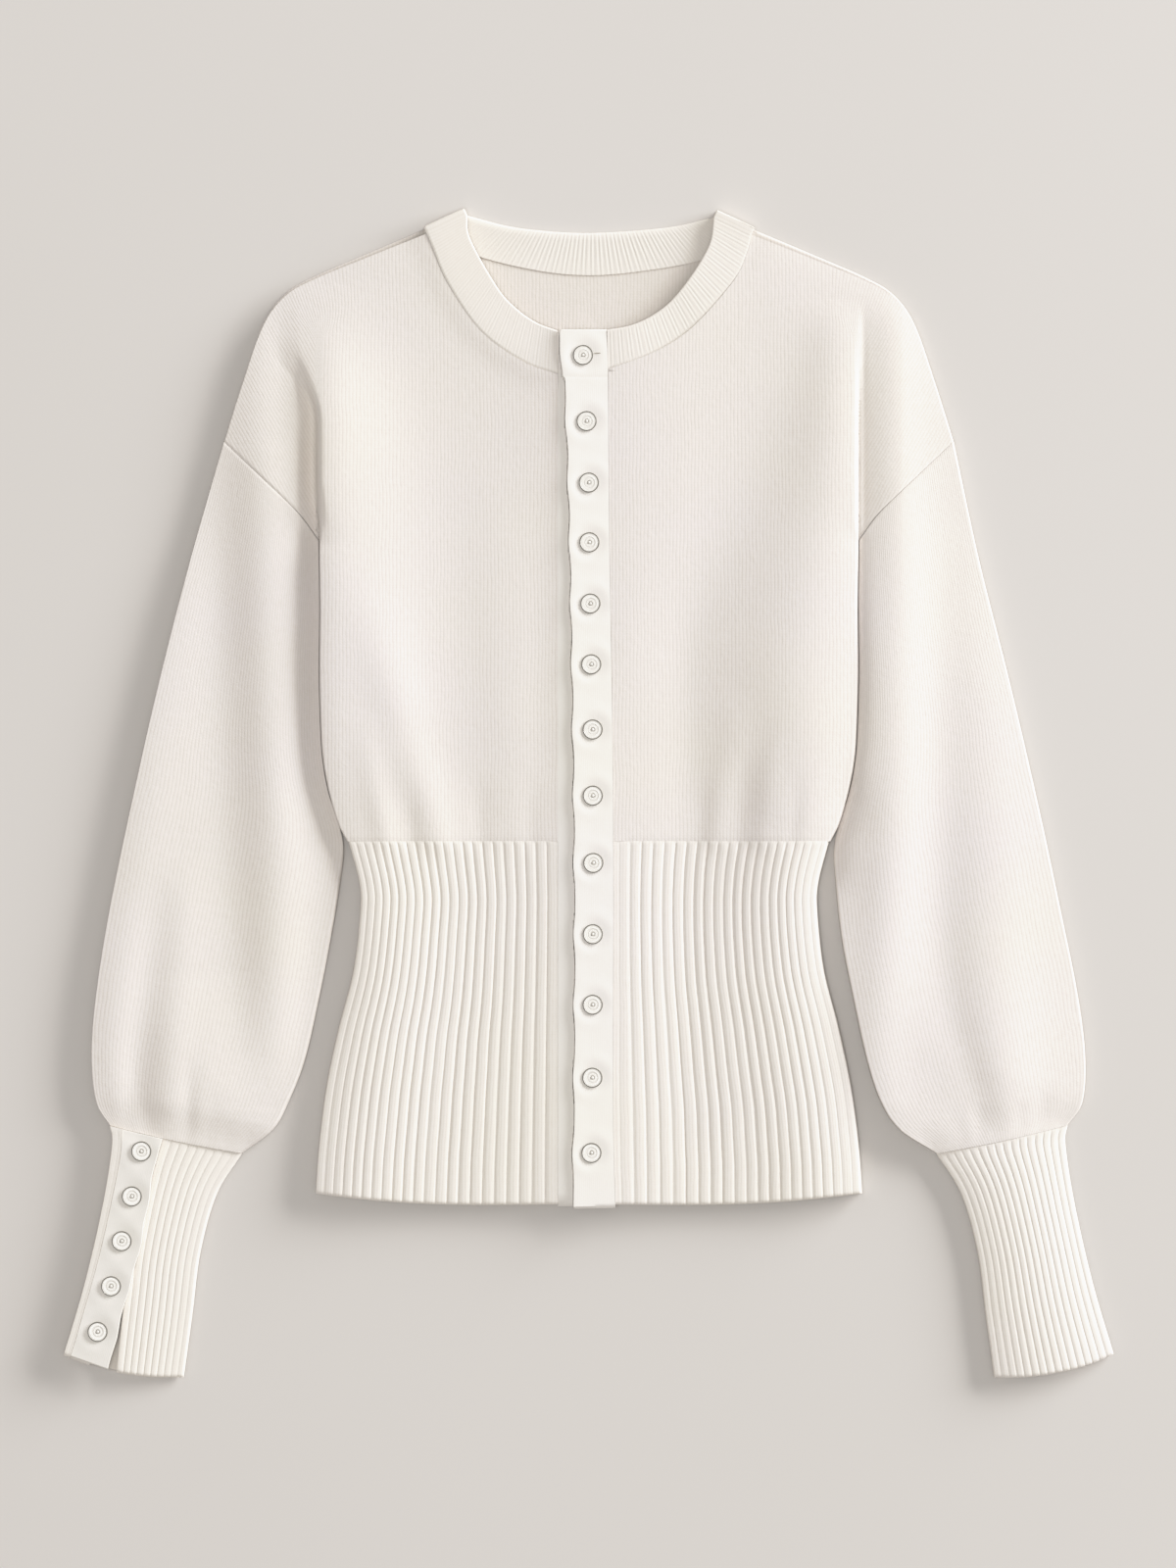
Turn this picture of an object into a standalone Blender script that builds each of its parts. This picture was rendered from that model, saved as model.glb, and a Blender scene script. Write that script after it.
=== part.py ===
"""Ivory knit button cardigan, laid out flat on its back.

The garment lies in the XY plane with +Z up: +Y runs towards the neck, and +X
towards the wearer's left side. The front panels lie on the back panel, and the
plain underside rests at z = 0. Sizes are in millimetres and are turned into
metres where meshes are made.
"""

import math
from collections import namedtuple

import bmesh
import bpy
from mathutils import Vector

MM = 0.001
PLAN_SHIFT_Y = -0.783  # puts the middle of the laid garment's length at y = 0

# ---- Driving dimensions, in millimetres ----
SEAM_GAP = 0.3  # between neighbouring pieces
CURVED_GAP = 0.55  # along a curved seam, whose two edges step at different points
WALL = 2.6  # knitted cloth
CHAMFER = 1.2  # of the underside's edges
FOLD_Z = WALL + SEAM_GAP  # where the front turns under at a fold
FOLD_RADIUS = 9.0  # of the roll at the side and shoulder folds
RIB_FOLD_RADIUS = 6.0
SHARP_ANGLE = 40.0  # degrees: steeper edges are shaded as edges
PANEL_TOP = 8.2  # top face of the fronts beside the placket
MOST_RISE = 0.9  # of a fold above the panel
MOST_DIP = 2.6  # of a fold below it
FLAT_BESIDE_PLACKET = (17.0, 38.0)  # the folds fade out between these half widths
CORNER_FADE = 12.0  # the side fold's inset fades out this far along the armhole
END_INSET = 1.2  # share of the wall's thickness that its inner face stops short by

WAIST_Y = -27.0  # where the bodice is sewn to the waist rib
HEM_DROP = 6.4  # the hem hangs lower in the middle than at the side
HEM_BOW = 0.5  # how much of that drop is a curve between the two
HEM_MIDDLE_Y = -238.4  # of the back
RIB_DEPTH = 0.9
RIBS_A_SIDE = 22  # on each half of the waist rib
RIB_CROWDING = 0.2  # how much closer the ribs stand at the side fold
RIB_SHOULDERS = (0.24, 0.76)  # shares of a rib's width between two grooves
RIB_POINTS = 3  # across one rib: its groove and two shoulders
PLAIN_STEP = 2 * RIB_POINTS  # the plain inner face has a point under every second rib
RIB_UNDERSIDE = RIB_DEPTH + 0.8 * WALL  # from a rib's top to the plain inner face
RIBS_ON_CUFF = 16
RIBS_INSIDE_SLIT = 10  # on the cuff with the opening
RIBS_OUTSIDE_SLIT = 4

NECK_CENTRE = (0.0, 330.0)
NECK_TOP = 8.4
NECK_TURN_RADIUS = (NECK_TOP - WALL) / 2  # of the band's middle, where it turns to the back
NECK_TURN_ANGLES = (45, 90, 135)  # degrees
NECK_RIB_PITCH = 3.4
NECK_RIB_DEPTH = 0.35
NECK_FRONT_FULLNESS = 0.9  # of the seam's length, which the front's ribs are spread over
NECK_BACK_FULLNESS = 1.12  # of the free edge's length, for the ribs of the back
NECK_PLAIN_STEP = 6  # the plain inner face has a point under every third rib

BAND_TOP = PANEL_TOP + SEAM_GAP + WALL
BAND_EDGE = 0.8  # rounding along the edges of a band
UNDER_BAND_EDGES = (-17.6, 9.6)
UNDER_BAND_RAISED = 1.5  # its ends stand this much higher than the button band's
FRONT_EDGE_RIGHT = 17.9  # from the middle line to the right front's edge
FRONT_EDGE_LEFT = 10.2  # the left front reaches in under the button band

CUFF_TOP = 7.6
CUFF_BAND_TOP = CUFF_TOP + SEAM_GAP + WALL
BUTTON_SEGMENTS = 14

# ---- Where the points of a piece lie: how many rows, and shares of its width ----
SIDE_ROWS = 12  # of a front, up to the armhole
ARMHOLE_ROWS = 11  # of a front, from there to the shoulder
SIDE_ROW_EASE = 0.3  # how much the rows are drawn towards both ends
ARMHOLE_ROW_EASE = 0.75
FRONT_COLUMNS = (0, 0.007, 0.025, 0.065, 0.12, 0.19, 0.29, 0.39, 0.49, 0.59, 0.7, 0.8, 0.9, 1)
SLEEVE_COLUMNS = (0, 0.02, 0.06, 0.12, 0.2, 0.3, 0.4, 0.5, 0.6, 0.7, 0.8, 0.88, 0.94, 0.98, 1)
SLEEVE_BASE = (0.985, 0.75, 0.5, 0.25, 0.015)
SLEEVE_ROWS = 17
SLEEVE_ROW_EASE = 0.35
CUFF_BASE = (0.98, 0.8, 0.6, 0.4, 0.2, 0.02)
CUFF_ROWS = 10
WAIST_RIB_ROWS = 10
BACK_SIDE_POINTS = 10
BACK_ARMHOLE_POINTS = 9
BACK_SHOULDER_POINTS = 14
BACK_NECK_POINTS = 21
WAIST_RIB_BACK_POINTS = 14
BUTTON_BAND_ROWS = 26
UNDER_BAND_ROWS = 9
CUFF_BAND_ROWS = 10

Point = namedtuple("Point", "x y")
Fold = namedtuple("Fold", "x1 y1 x2 y2 width rise")

# ---- Outlines of one half; the other half mirrors them ----
SIDE_FOLD = [
    Point(141.0, WAIST_Y),
    Point(146.0, -16.7),
    Point(151.0, 0.4),
    Point(154.3, 17.5),
    Point(155.8, 35.0),
    Point(156.8, 70.0),
    Point(156.5, 110.0),
    Point(157.0, 148.0),
]
ARMHOLE_SEAM = [
    Point(157.0, 148.0),
    Point(169.0, 164.0),
    Point(189.5, 183.8),
    Point(212.3, 205.5),
]
SHOULDER_FOLD = [
    Point(212.3, 205.5),
    Point(201.5, 240.0),
    Point(189.5, 274.0),
    Point(177.3, 291.0),
    Point(161.0, 301.0),
    Point(131.0, 314.0),
    Point(95.8, 328.8),
]
RIB_SIDE_FOLD = [
    Point(140.0, WAIST_Y),
    Point(133.8, -51.0),
    Point(133.2, -68.0),
    Point(137.1, -102.0),
    Point(145.9, -136.5),
    Point(153.0, -170.5),
    Point(157.3, -205.0),
    Point(159.2, -232.0),
]
SLEEVE_OUTER = {
    "right": [
        Point(212.3, 205.5),
        Point(231.9, 137.0),
        Point(249.4, 69.0),
        Point(264.9, 0.5),
        Point(279.2, -68.0),
        Point(287.1, -119.0),
        Point(289.4, -153.5),
        Point(286.6, -179.0),
        Point(279.2, -192.0),
    ],
    "left": [
        Point(212.3, 205.5),
        Point(227.0, 137.0),
        Point(244.1, 69.0),
        Point(260.1, 0.5),
        Point(274.9, -68.0),
        Point(285.1, -119.0),
        Point(289.1, -153.5),
        Point(287.4, -179.0),
        Point(279.2, -192.0),
    ],
}
# Down to the waist the sleeve lies along the body's fold, and then parts from it.
SLEEVE_INNER = [Point(p.x + CURVED_GAP, p.y) for p in SIDE_FOLD[:1:-1]] + [
    Point(143.2, -27.0),
    Point(144.2, -51.0),
    Point(149.3, -85.0),
    Point(155.6, -119.0),
    Point(163.3, -153.5),
    Point(173.0, -178.0),
    Point(183.0, -195.0),
    Point(201.8, -208.8),
]
CUFF_OUTER = [
    Point(278.4, -193.0),
    Point(277.5, -203.6),
    Point(282.8, -238.0),
    Point(293.3, -284.0),
    Point(305.6, -325.8),
]
CUFF_INNER = [
    Point(201.7, -209.0),
    Point(216.4, -232.4),
    Point(225.9, -266.0),
    Point(230.6, -302.0),
    Point(235.7, -339.2),
]
CUFF_HEM = [
    Point(305.6, -325.8),
    Point(288.9, -332.5),
    Point(272.8, -336.4),
    Point(254.0, -339.0),
    Point(235.7, -339.2),
]
CUFF_JOIN = [
    Point(278.8, -192.4),
    Point(262.0, -196.6),
    Point(235.0, -202.6),
    Point(201.8, -208.8),
]

# ---- Outlines of the neck, which the overlap makes uneven ----
NECK_SEAM = {
    "right": [
        Point(-17.9, 244.4),
        Point(-38.0, 251.8),
        Point(-62.6, 269.5),
        Point(-81.6, 296.8),
        Point(-91.0, 318.4),
        Point(-94.2, 326.2),
    ],
    "left": [
        Point(11.4, 247.4),
        Point(38.3, 257.5),
        Point(60.0, 271.6),
        Point(83.9, 298.5),
        Point(92.0, 315.1),
        Point(94.8, 325.6),
    ],
}
NECK_EDGE = {
    "right": [
        Point(-17.9, 269.6),
        Point(-30.6, 274.6),
        Point(-42.6, 283.1),
        Point(-53.4, 295.4),
        Point(-68.8, 323.0),
        Point(-70.6, 337.0),
    ],
    "left": [
        Point(10.8, 270.6),
        Point(22.9, 273.5),
        Point(38.3, 281.4),
        Point(52.0, 295.4),
        Point(68.5, 315.1),
        Point(72.4, 336.0),
    ],
}
BACK_NECK_SEAM = [
    Point(-94.2, 326.2),
    Point(-63.1, 313.9),
    Point(-28.9, 305.9),
    Point(0.0, 303.3),
    Point(30.0, 305.6),
    Point(65.7, 312.2),
    Point(94.8, 325.6),
]
BACK_NECK_EDGE = [
    Point(-70.6, 337.0),
    Point(-40.9, 329.9),
    Point(0.0, 327.0),
    Point(45.7, 330.2),
    Point(72.4, 336.0),
]

# ---- Bands: their left and right edges, from the neck to the hem ----
BUTTON_BAND_LEFT = [
    Point(-16.4, 266.8),
    Point(-14.1, 240.0),
    Point(-11.8, 171.4),
    Point(-9.5, 51.7),
    Point(-8.4, -68.0),
    Point(-8.8, -180.0),
    Point(-9.5, -241.0),
]
BUTTON_BAND_RIGHT = [
    Point(9.8, 266.8),
    Point(11.3, 240.0),
    Point(12.1, 143.0),
    Point(13.8, 40.0),
    Point(14.4, -60.0),
    Point(14.2, -180.0),
    Point(15.5, -240.4),
]
CUFF_BAND_LEFT = [
    Point(-271.2, -195.6),
    Point(-273.0, -214.3),
    Point(-283.5, -263.8),
    Point(-296.5, -310.8),
    Point(-301.4, -326.8),
]
CUFF_BAND_RIGHT = [
    Point(-247.8, -200.8),
    Point(-252.0, -214.3),
    Point(-260.6, -262.3),
    Point(-270.0, -297.1),
    Point(-279.2, -334.6),
]
# The cuff's own edge runs under its band, and parts from it below the last button but one.
CUFF_SLIT = [
    Point(-252.5, -197.4),
    Point(-257.0, -215.0),
    Point(-266.0, -262.0),
    Point(-270.3, -297.5),
    Point(-274.7, -336.0),
]
CUFF_UNDERLAP = [
    Point(-262.0, -195.6),
    Point(-265.0, -214.5),
    Point(-274.5, -263.0),
    Point(-284.0, -306.0),
    Point(-290.0, -331.6),
]

BUTTONS = [
    Point(-3.3, 255.4),
    Point(-1.2, 217.0),
    Point(0.1, 181.3),
    Point(0.4, 146.6),
    Point(1.0, 111.0),
    Point(1.5, 75.7),
    Point(2.3, 37.8),
    Point(2.4, -0.6),
    Point(2.7, -39.7),
    Point(2.4, -81.1),
    Point(2.3, -122.1),
    Point(2.1, -164.5),
    Point(1.6, -208.2),
]
CUFF_BUTTONS = [
    Point(-260.0, -207.3),
    Point(-265.5, -233.5),
    Point(-271.4, -259.5),
    Point(-277.6, -285.7),
    Point(-285.4, -312.2),
]

# ---- The largest folds: a line, the width of its flank and how far it rises ----
FOLDS = [
    # the soft valley between body and sleeve, on the shoulder
    Fold(-166.0, 262.0, -157.0, 148.0, 10.0, -2.2),
    Fold(166.0, 262.0, 157.0, 148.0, 10.0, -2.2),
    # the fullness beside that valley, down each side of the body
    Fold(-138.0, 170.0, -140.0, 20.0, 18.0, 1.1),
    Fold(138.0, 170.0, 140.0, 20.0, 18.0, 1.1),
    # the bodice bloused over the waist rib
    Fold(-124.0, -12.0, -40.0, -14.0, 11.0, 1.2),
    Fold(124.0, -12.0, 40.0, -14.0, 11.0, 1.2),
    # its gathers
    Fold(-97.0, 29.0, -75.0, -9.0, 7.0, 0.9),
    Fold(-113.0, 11.0, -102.0, -20.0, 5.0, -1.6),
    Fold(-58.0, 6.0, -54.0, -22.0, 5.0, -1.0),
    Fold(108.0, 27.0, 91.0, -18.0, 6.0, -1.5),
    Fold(122.0, 6.0, 118.0, -20.0, 5.0, -1.3),
    Fold(62.0, 4.0, 58.0, -22.0, 5.0, -1.0),
    # the crown of each sleeve
    Fold(-190.0, 120.0, -232.0, -140.0, 34.0, 1.3),
    Fold(190.0, 120.0, 232.0, -140.0, 34.0, 1.3),
    # the long soft hollow down each sleeve, and the gathers above its cuff
    Fold(-200.0, 15.0, -199.0, -130.0, 12.0, -1.0),
    Fold(200.0, 15.0, 203.0, -120.0, 12.0, -0.8),
    Fold(-246.0, -90.0, -259.0, -150.0, 6.0, -1.5),
    Fold(-259.0, -150.0, -254.0, -190.0, 6.0, -2.0),
    Fold(-223.0, -160.0, -232.0, -195.0, 5.5, -1.9),
    Fold(-205.0, -175.0, -212.0, -200.0, 5.0, -1.4),
    Fold(228.0, -158.0, 234.0, -198.0, 5.5, -1.9),
    Fold(255.0, -140.0, 256.0, -192.0, 6.0, -1.9),
    Fold(207.0, -172.0, 214.0, -200.0, 5.0, -1.4),
]

# Radius and height of a button: a rim round a shallow dish, with a small boss.
BUTTON_PROFILE = [
    (5.2, 0.0),
    (5.8, 1.0),
    (5.1, 2.6),
    (4.3, 2.1),
    (1.0, 1.8),
    (0.8, 2.3),
]


# ---- Curves ----
def catmull_rom(points, steps=12):
    """Points along a smooth curve through the given ones."""
    path = [Vector(p[:2]) for p in points]
    ends = [2 * path[0] - path[1]] + path + [2 * path[-1] - path[-2]]
    found = []
    for a, b, c, d in zip(ends, ends[1:], ends[2:], ends[3:]):
        for i in range(steps):
            t = i / steps
            found.append(
                0.5
                * (
                    2 * b
                    + (c - a) * t
                    + (2 * a - 5 * b + 4 * c - d) * t**2
                    + (3 * b - a - 3 * c + d) * t**3
                )
            )
    return found + [path[-1]]


class Curve:
    """A smooth plan curve read by its share of the length, 0 to 1."""

    def __init__(self, points, sign=1):
        self.path = catmull_rom([Point(p.x * sign, p.y) for p in points])
        self.along = [0.0]
        for a, b in zip(self.path, self.path[1:]):
            self.along.append(self.along[-1] + (b - a).length)
        self.length = self.along[-1]

    def at(self, share):
        target = min(max(share, 0.0), 1.0) * self.length
        for i in range(1, len(self.path)):
            if self.along[i] >= target:
                span = self.along[i] - self.along[i - 1]
                t = (target - self.along[i - 1]) / span if span else 0.0
                return self.path[i - 1].lerp(self.path[i], t)
        return self.path[-1].copy()

    def distance(self, p):
        return min(distance_to_line(p, a, b) for a, b in zip(self.path, self.path[1:]))


def distance_to_line(p, a, b):
    d = b - a
    t = min(max((p - a).dot(d) / max(d.length_squared, 1e-12), 0.0), 1.0)
    return (p - a - d * t).length


def moved_out(points, centre, amount):
    """The points of an outline moved away from its centre, square to the outline."""
    found = []
    for i, p in enumerate(points):
        before, after = points[max(i - 1, 0)], points[min(i + 1, len(points) - 1)]
        along = Vector((after.x - before.x, after.y - before.y)).normalized()
        out = Vector((-along.y, along.x))
        if out.dot(Vector((p.x - centre[0], p.y - centre[1]))) < 0:
            out = -out
        found.append(Point(p.x + out.x * amount, p.y + out.y * amount))
    return found


def spaced(count, ends=0.0):
    """Shares from 0 to 1, drawn towards both ends by the given amount, 0 to 1."""
    found = []
    for i in range(count):
        t = i / (count - 1)
        eased = 0.5 - 0.5 * math.cos(math.pi * t)
        found.append(t + (eased - t) * ends)
    return found


def coons(start, end, low, high, u, v):
    """The plan point at u, v of the patch between four edges, each a function of a share.

    start and end run along v, at u = 0 and 1; low and high along u, at v = 0 and 1.
    """
    across = start(v).lerp(end(v), u)
    along = low(u).lerp(high(u), v)
    corners = low(0).lerp(low(1), u).lerp(high(0).lerp(high(1), u), v)
    return across + along - corners


# ---- Heights ----
def height(p):
    """The top of the cloth over a plan point."""
    rise = 0.0
    for f in FOLDS:
        d = distance_to_line(p, Vector((f.x1, f.y1)), Vector((f.x2, f.y2)))
        rise += f.rise * math.exp(-((d / f.width) ** 2))
    near, far = FLAT_BESIDE_PLACKET
    t = min(max((abs(p.x) - near) / (far - near), 0.0), 1.0)
    rise *= t * t * (3 - 2 * t)
    return PANEL_TOP + min(max(rise, -MOST_DIP), MOST_RISE)


def roll(distance, radius):
    """How much of its full height the cloth has at this distance from a fold."""
    q = min(max(distance / radius, 0.0), 1.0)
    return math.sqrt(1 - (1 - q) ** 2)


def rolled(top, distance, radius=FOLD_RADIUS):
    return FOLD_Z + (top - FOLD_Z) * roll(distance, radius)


# ---- Making objects ----
def clear_scene():
    for obj in list(bpy.data.objects):
        bpy.data.objects.remove(obj, do_unlink=True)


def material(name, colour, roughness):
    mat = bpy.data.materials.new(name)
    mat.use_nodes = True
    shader = mat.node_tree.nodes["Principled BSDF"]
    shader.inputs["Base Color"].default_value = (*colour, 1.0)
    shader.inputs["Roughness"].default_value = roughness
    return mat


def add_object(name, bm, mat):
    bmesh.ops.recalc_face_normals(bm, faces=bm.faces)
    mesh = bpy.data.meshes.new(name)
    bm.to_mesh(mesh)
    bm.free()
    mesh.materials.append(mat)
    mesh.shade_smooth()
    mesh.set_sharp_from_angle(angle=math.radians(SHARP_ANGLE))
    return linked(name, mesh)


def linked(name, mesh):
    obj = bpy.data.objects.new(name, mesh)
    bpy.context.scene.collection.objects.link(obj)
    return obj


def to_metres(x, y, z):
    return Vector((x * MM, (y + PLAN_SHIFT_Y) * MM, z * MM))


def grid_vertices(bm, rows):
    return [[bm.verts.new(to_metres(*p)) for p in row] for row in rows]


def join_rows(bm, rows, closed):
    for a, b in zip(rows, rows[1:]):
        for i in range(len(a) if closed else len(a) - 1):
            j = (i + 1) % len(a)
            bm.faces.new((a[i], a[j], b[j], b[i]))


def close_end(bm, outer, inner, knots):
    """Joins the end row of the outer face to that of the plainer inner face."""
    for j in range(len(knots) - 1):
        span = [outer[k % len(outer)] for k in range(knots[j], knots[j + 1] + 1)]
        bm.faces.new(span + [inner[(j + 1) % len(inner)], inner[j]])


def wall(name, outer, inner, mat, knots=None, closed=False):
    """A cloth wall between two grids of points with the same number of rows.

    Inner column j lies under outer column knots[j]. A closed wall is a tube.
    """
    if knots is None:
        knots = list(range(len(outer[0]) + (1 if closed else 0)))
    bm = bmesh.new()
    out_rows = grid_vertices(bm, outer)
    in_rows = grid_vertices(bm, inner)
    join_rows(bm, out_rows, closed)
    join_rows(bm, in_rows, closed)
    close_end(bm, out_rows[0], in_rows[0], knots)
    close_end(bm, out_rows[-1], in_rows[-1], knots)
    if not closed:
        for side in (0, -1):
            for a, b, c, d in zip(out_rows, out_rows[1:], in_rows[1:], in_rows):
                bm.faces.new((a[side], b[side], c[side], d[side]))
    return add_object(name, bm, mat)


def slab(name, outline, mat):
    """A flat wall on the floor, with its lower edge rounded off."""
    middle = sum(outline, Vector((0, 0))) / len(outline)
    levels = ((CHAMFER, 0.0), (0.0, CHAMFER), (0.0, WALL))
    bm = bmesh.new()
    rings = []
    for inset, z in levels:
        ring = []
        for p in outline:
            q = p + (middle - p).normalized() * inset
            ring.append(bm.verts.new(to_metres(q.x, q.y, z)))
        rings.append(ring)
    join_rows(bm, rings, closed=True)
    for ring in (rings[0], rings[-1]):
        bmesh.ops.triangulate(bm, faces=[bm.faces.new(ring)])
    return add_object(name, bm, mat)


def button(name, mat):
    """A turned button standing on z = 0 at the middle of its own frame."""
    bm = bmesh.new()
    rings = []
    for radius, z in BUTTON_PROFILE:
        ring = []
        for i in range(BUTTON_SEGMENTS):
            angle = math.tau * i / BUTTON_SEGMENTS
            spot = Vector((radius * math.cos(angle), radius * math.sin(angle), z))
            ring.append(bm.verts.new(spot * MM))
        rings.append(ring)
    join_rows(bm, rings, closed=True)
    bm.faces.new(rings[0])
    bm.faces.new(rings[-1])
    return add_object(name, bm, mat)


# ---- Fronts and back ----
def side_of(side):
    """The sign of X on the wearer's given side, and where that front's edge lies."""
    if side == "right":
        return -1, -FRONT_EDGE_RIGHT
    return 1, FRONT_EDGE_LEFT


def front_panel(side, mat):
    """A front, from the waist seam up to the armhole, shoulder and neckband.

    Its side runs up the fold and then along the armhole, and its edge up the placket
    and then along the neckband, so that both have their corner at the same row.
    """
    sign, edge_x = side_of(side)
    waist_y = WAIST_Y + SEAM_GAP / 2
    fold = [Point(SIDE_FOLD[0].x, waist_y)] + SIDE_FOLD[1:]
    side_fold = Curve(fold, sign)
    armhole = Curve(ARMHOLE_SEAM, sign)
    armhole_gap = Vector((-sign, 1)) * CURVED_GAP / 2
    shoulder = Curve(SHOULDER_FOLD, sign)
    corner = Point(edge_x, NECK_SEAM[side][0].y - CURVED_GAP)
    placket = Curve([Point(edge_x, waist_y), corner])
    neckline = Curve(moved_out(NECK_SEAM[side], NECK_CENTRE, CURVED_GAP))
    waist = Curve([Point(fold[0].x * sign, waist_y), Point(edge_x, waist_y)])
    corner_row = SIDE_ROWS / (SIDE_ROWS + ARMHOLE_ROWS)

    def side_at(v, inset):
        if v <= corner_row:
            return side_fold.at(v / corner_row) - Vector((sign * inset, 0))
        t = (v - corner_row) / (1 - corner_row)
        fade = max(0.0, 1 - t * armhole.length / CORNER_FADE)
        reach = 1 - inset * END_INSET / armhole.length
        return armhole.at(t * reach) + armhole_gap - Vector((sign * inset * fade, 0))

    def edge_at(v, inset):
        if v <= corner_row:
            return placket.at(v / corner_row)
        t = (v - corner_row) / (1 - corner_row)
        return neckline.at(t * (1 - inset * END_INSET / neckline.length))

    def low_at(u, inset):
        return waist.at(u + (1 - u) * inset / waist.length)

    def high_at(u, inset):
        ends = side_at(1, inset).lerp(edge_at(1, inset), u)
        return ends + shoulder.at(u) - shoulder.at(0).lerp(shoulder.at(1), u)

    def face_point(u, v, inset):
        """A point of the outer face, or of the inner one at an inset of the wall."""
        p = coons(
            lambda share: side_at(share, inset),
            lambda share: edge_at(share, inset),
            lambda share: low_at(share, inset),
            lambda share: high_at(share, inset),
            u,
            v,
        )
        to_fold = min(side_fold.distance(p), shoulder.distance(p)) - inset
        return (p.x, p.y, rolled(height(p) - inset, to_fold, FOLD_RADIUS - inset))

    rows = [t * corner_row for t in spaced(SIDE_ROWS, SIDE_ROW_EASE)]
    for t in spaced(ARMHOLE_ROWS + 1, ARMHOLE_ROW_EASE)[1:]:
        rows.append(corner_row + t * (1 - corner_row))
    outer = [[face_point(u, v, 0.0) for u in FRONT_COLUMNS] for v in rows]
    inner = [[face_point(u, v, WALL) for u in FRONT_COLUMNS] for v in rows]
    wall(f"front_{side}", outer, inner, mat)


def sampled(points, count):
    curve = Curve(points)
    return [curve.at(i / (count - 1)) for i in range(count)]


def inset_x(points, amount):
    return [Vector((p.x - math.copysign(amount, p.x), p.y)) for p in points]


def back_panel(mat):
    """The back lies flat under both fronts and shows inside the neck."""
    side = inset_x(sampled(SIDE_FOLD, BACK_SIDE_POINTS), SEAM_GAP / 2)
    side[0].y += SEAM_GAP / 2
    armhole_gap = Vector((-1, 1)) * CURVED_GAP / 2
    arm = [p + armhole_gap for p in sampled(ARMHOLE_SEAM, BACK_ARMHOLE_POINTS)]
    shoulder = sampled(SHOULDER_FOLD, BACK_SHOULDER_POINTS)
    half = side + arm[1:] + shoulder[1:-1]
    neck = sampled(moved_out(BACK_NECK_SEAM, NECK_CENTRE, CURVED_GAP), BACK_NECK_POINTS)
    mirrored = [Vector((-p.x, p.y)) for p in half]
    slab("back", half + neck[::-1] + mirrored[::-1], mat)


# ---- Waist rib ----
def rib_height(share, count, top, depth):
    """The height at a share of the way across a row of ribs: low only in a groove."""
    in_groove = abs(share * count - round(share * count)) < min(RIB_SHOULDERS) / 2
    return top - (depth if in_groove else 0.0)


def rib_columns(count):
    """Shares across the ribs: a groove and the two shoulders of each rib."""
    found = []
    for i in range(count):
        found.append(i / count)
        found += [(i + shoulder) / count for shoulder in RIB_SHOULDERS]
    return found + [1.0]


def waist_rib_front(side, mat):
    sign, edge_x = side_of(side)
    fold = Curve(RIB_SIDE_FOLD, sign)
    top_y = WAIST_Y - SEAM_GAP / 2
    length = top_y - (RIB_SIDE_FOLD[-1].y - HEM_DROP)
    columns = rib_columns(RIBS_A_SIDE)
    knots = list(range(0, len(columns), PLAIN_STEP))

    def face_row(t, shares, inset, top, depth):
        start = fold.at(t)
        start.y = min(start.y, top_y)
        end = Vector((edge_x, top_y - length * t))
        row = []
        for u in shares:
            p = start.lerp(end, u * (1 - RIB_CROWDING) + u * u * RIB_CROWDING)
            p.x -= sign * inset * (1 - u)
            p.y -= HEM_DROP * HEM_BOW * t * math.sin(math.pi * u)
            z = rib_height(u, RIBS_A_SIDE, top, depth)
            to_fold = abs(p.x - start.x) - inset
            row.append((p.x, p.y, rolled(z, to_fold, RIB_FOLD_RADIUS - inset)))
        return row

    outer, inner = [], []
    for t in spaced(WAIST_RIB_ROWS):
        plain = [columns[j] for j in knots]
        outer.append(face_row(t, columns, 0.0, PANEL_TOP, RIB_DEPTH))
        inner.append(face_row(t, plain, WALL, PANEL_TOP - RIB_UNDERSIDE, 0.0))
    wall(f"waist_rib_front_{side}", outer, inner, mat, knots)


def waist_rib_back(mat):
    side = inset_x(sampled(RIB_SIDE_FOLD, WAIST_RIB_BACK_POINTS), SEAM_GAP / 2)
    side[0].y -= SEAM_GAP / 2
    hem = [Vector((0.0, HEM_MIDDLE_Y))]
    mirrored = [Vector((-p.x, p.y)) for p in side]
    slab("waist_rib_back", side + hem + mirrored[::-1], mat)


# ---- Sleeves and cuffs ----
def tube_row(plan, t, top_z, columns, base_columns, inset, radius):
    """One section of a flattened tube: over the top and back along the floor.

    The inner face is inset by the wall, all round.
    """
    width = (plan(1.0, t) - plan(0.0, t)).length
    trim = inset / width

    def inset_plan(u):
        return plan(trim + u * (1 - 2 * trim), t)

    row = []
    for u in columns:
        p = inset_plan(u)
        to_fold = min(u, 1 - u) * (width - 2 * inset)
        row.append((p.x, p.y, rolled(top_z(p, u), to_fold, radius - inset)))
    for u in base_columns:
        p = inset_plan(u)
        row.append((p.x, p.y, inset))
    return row


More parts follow.
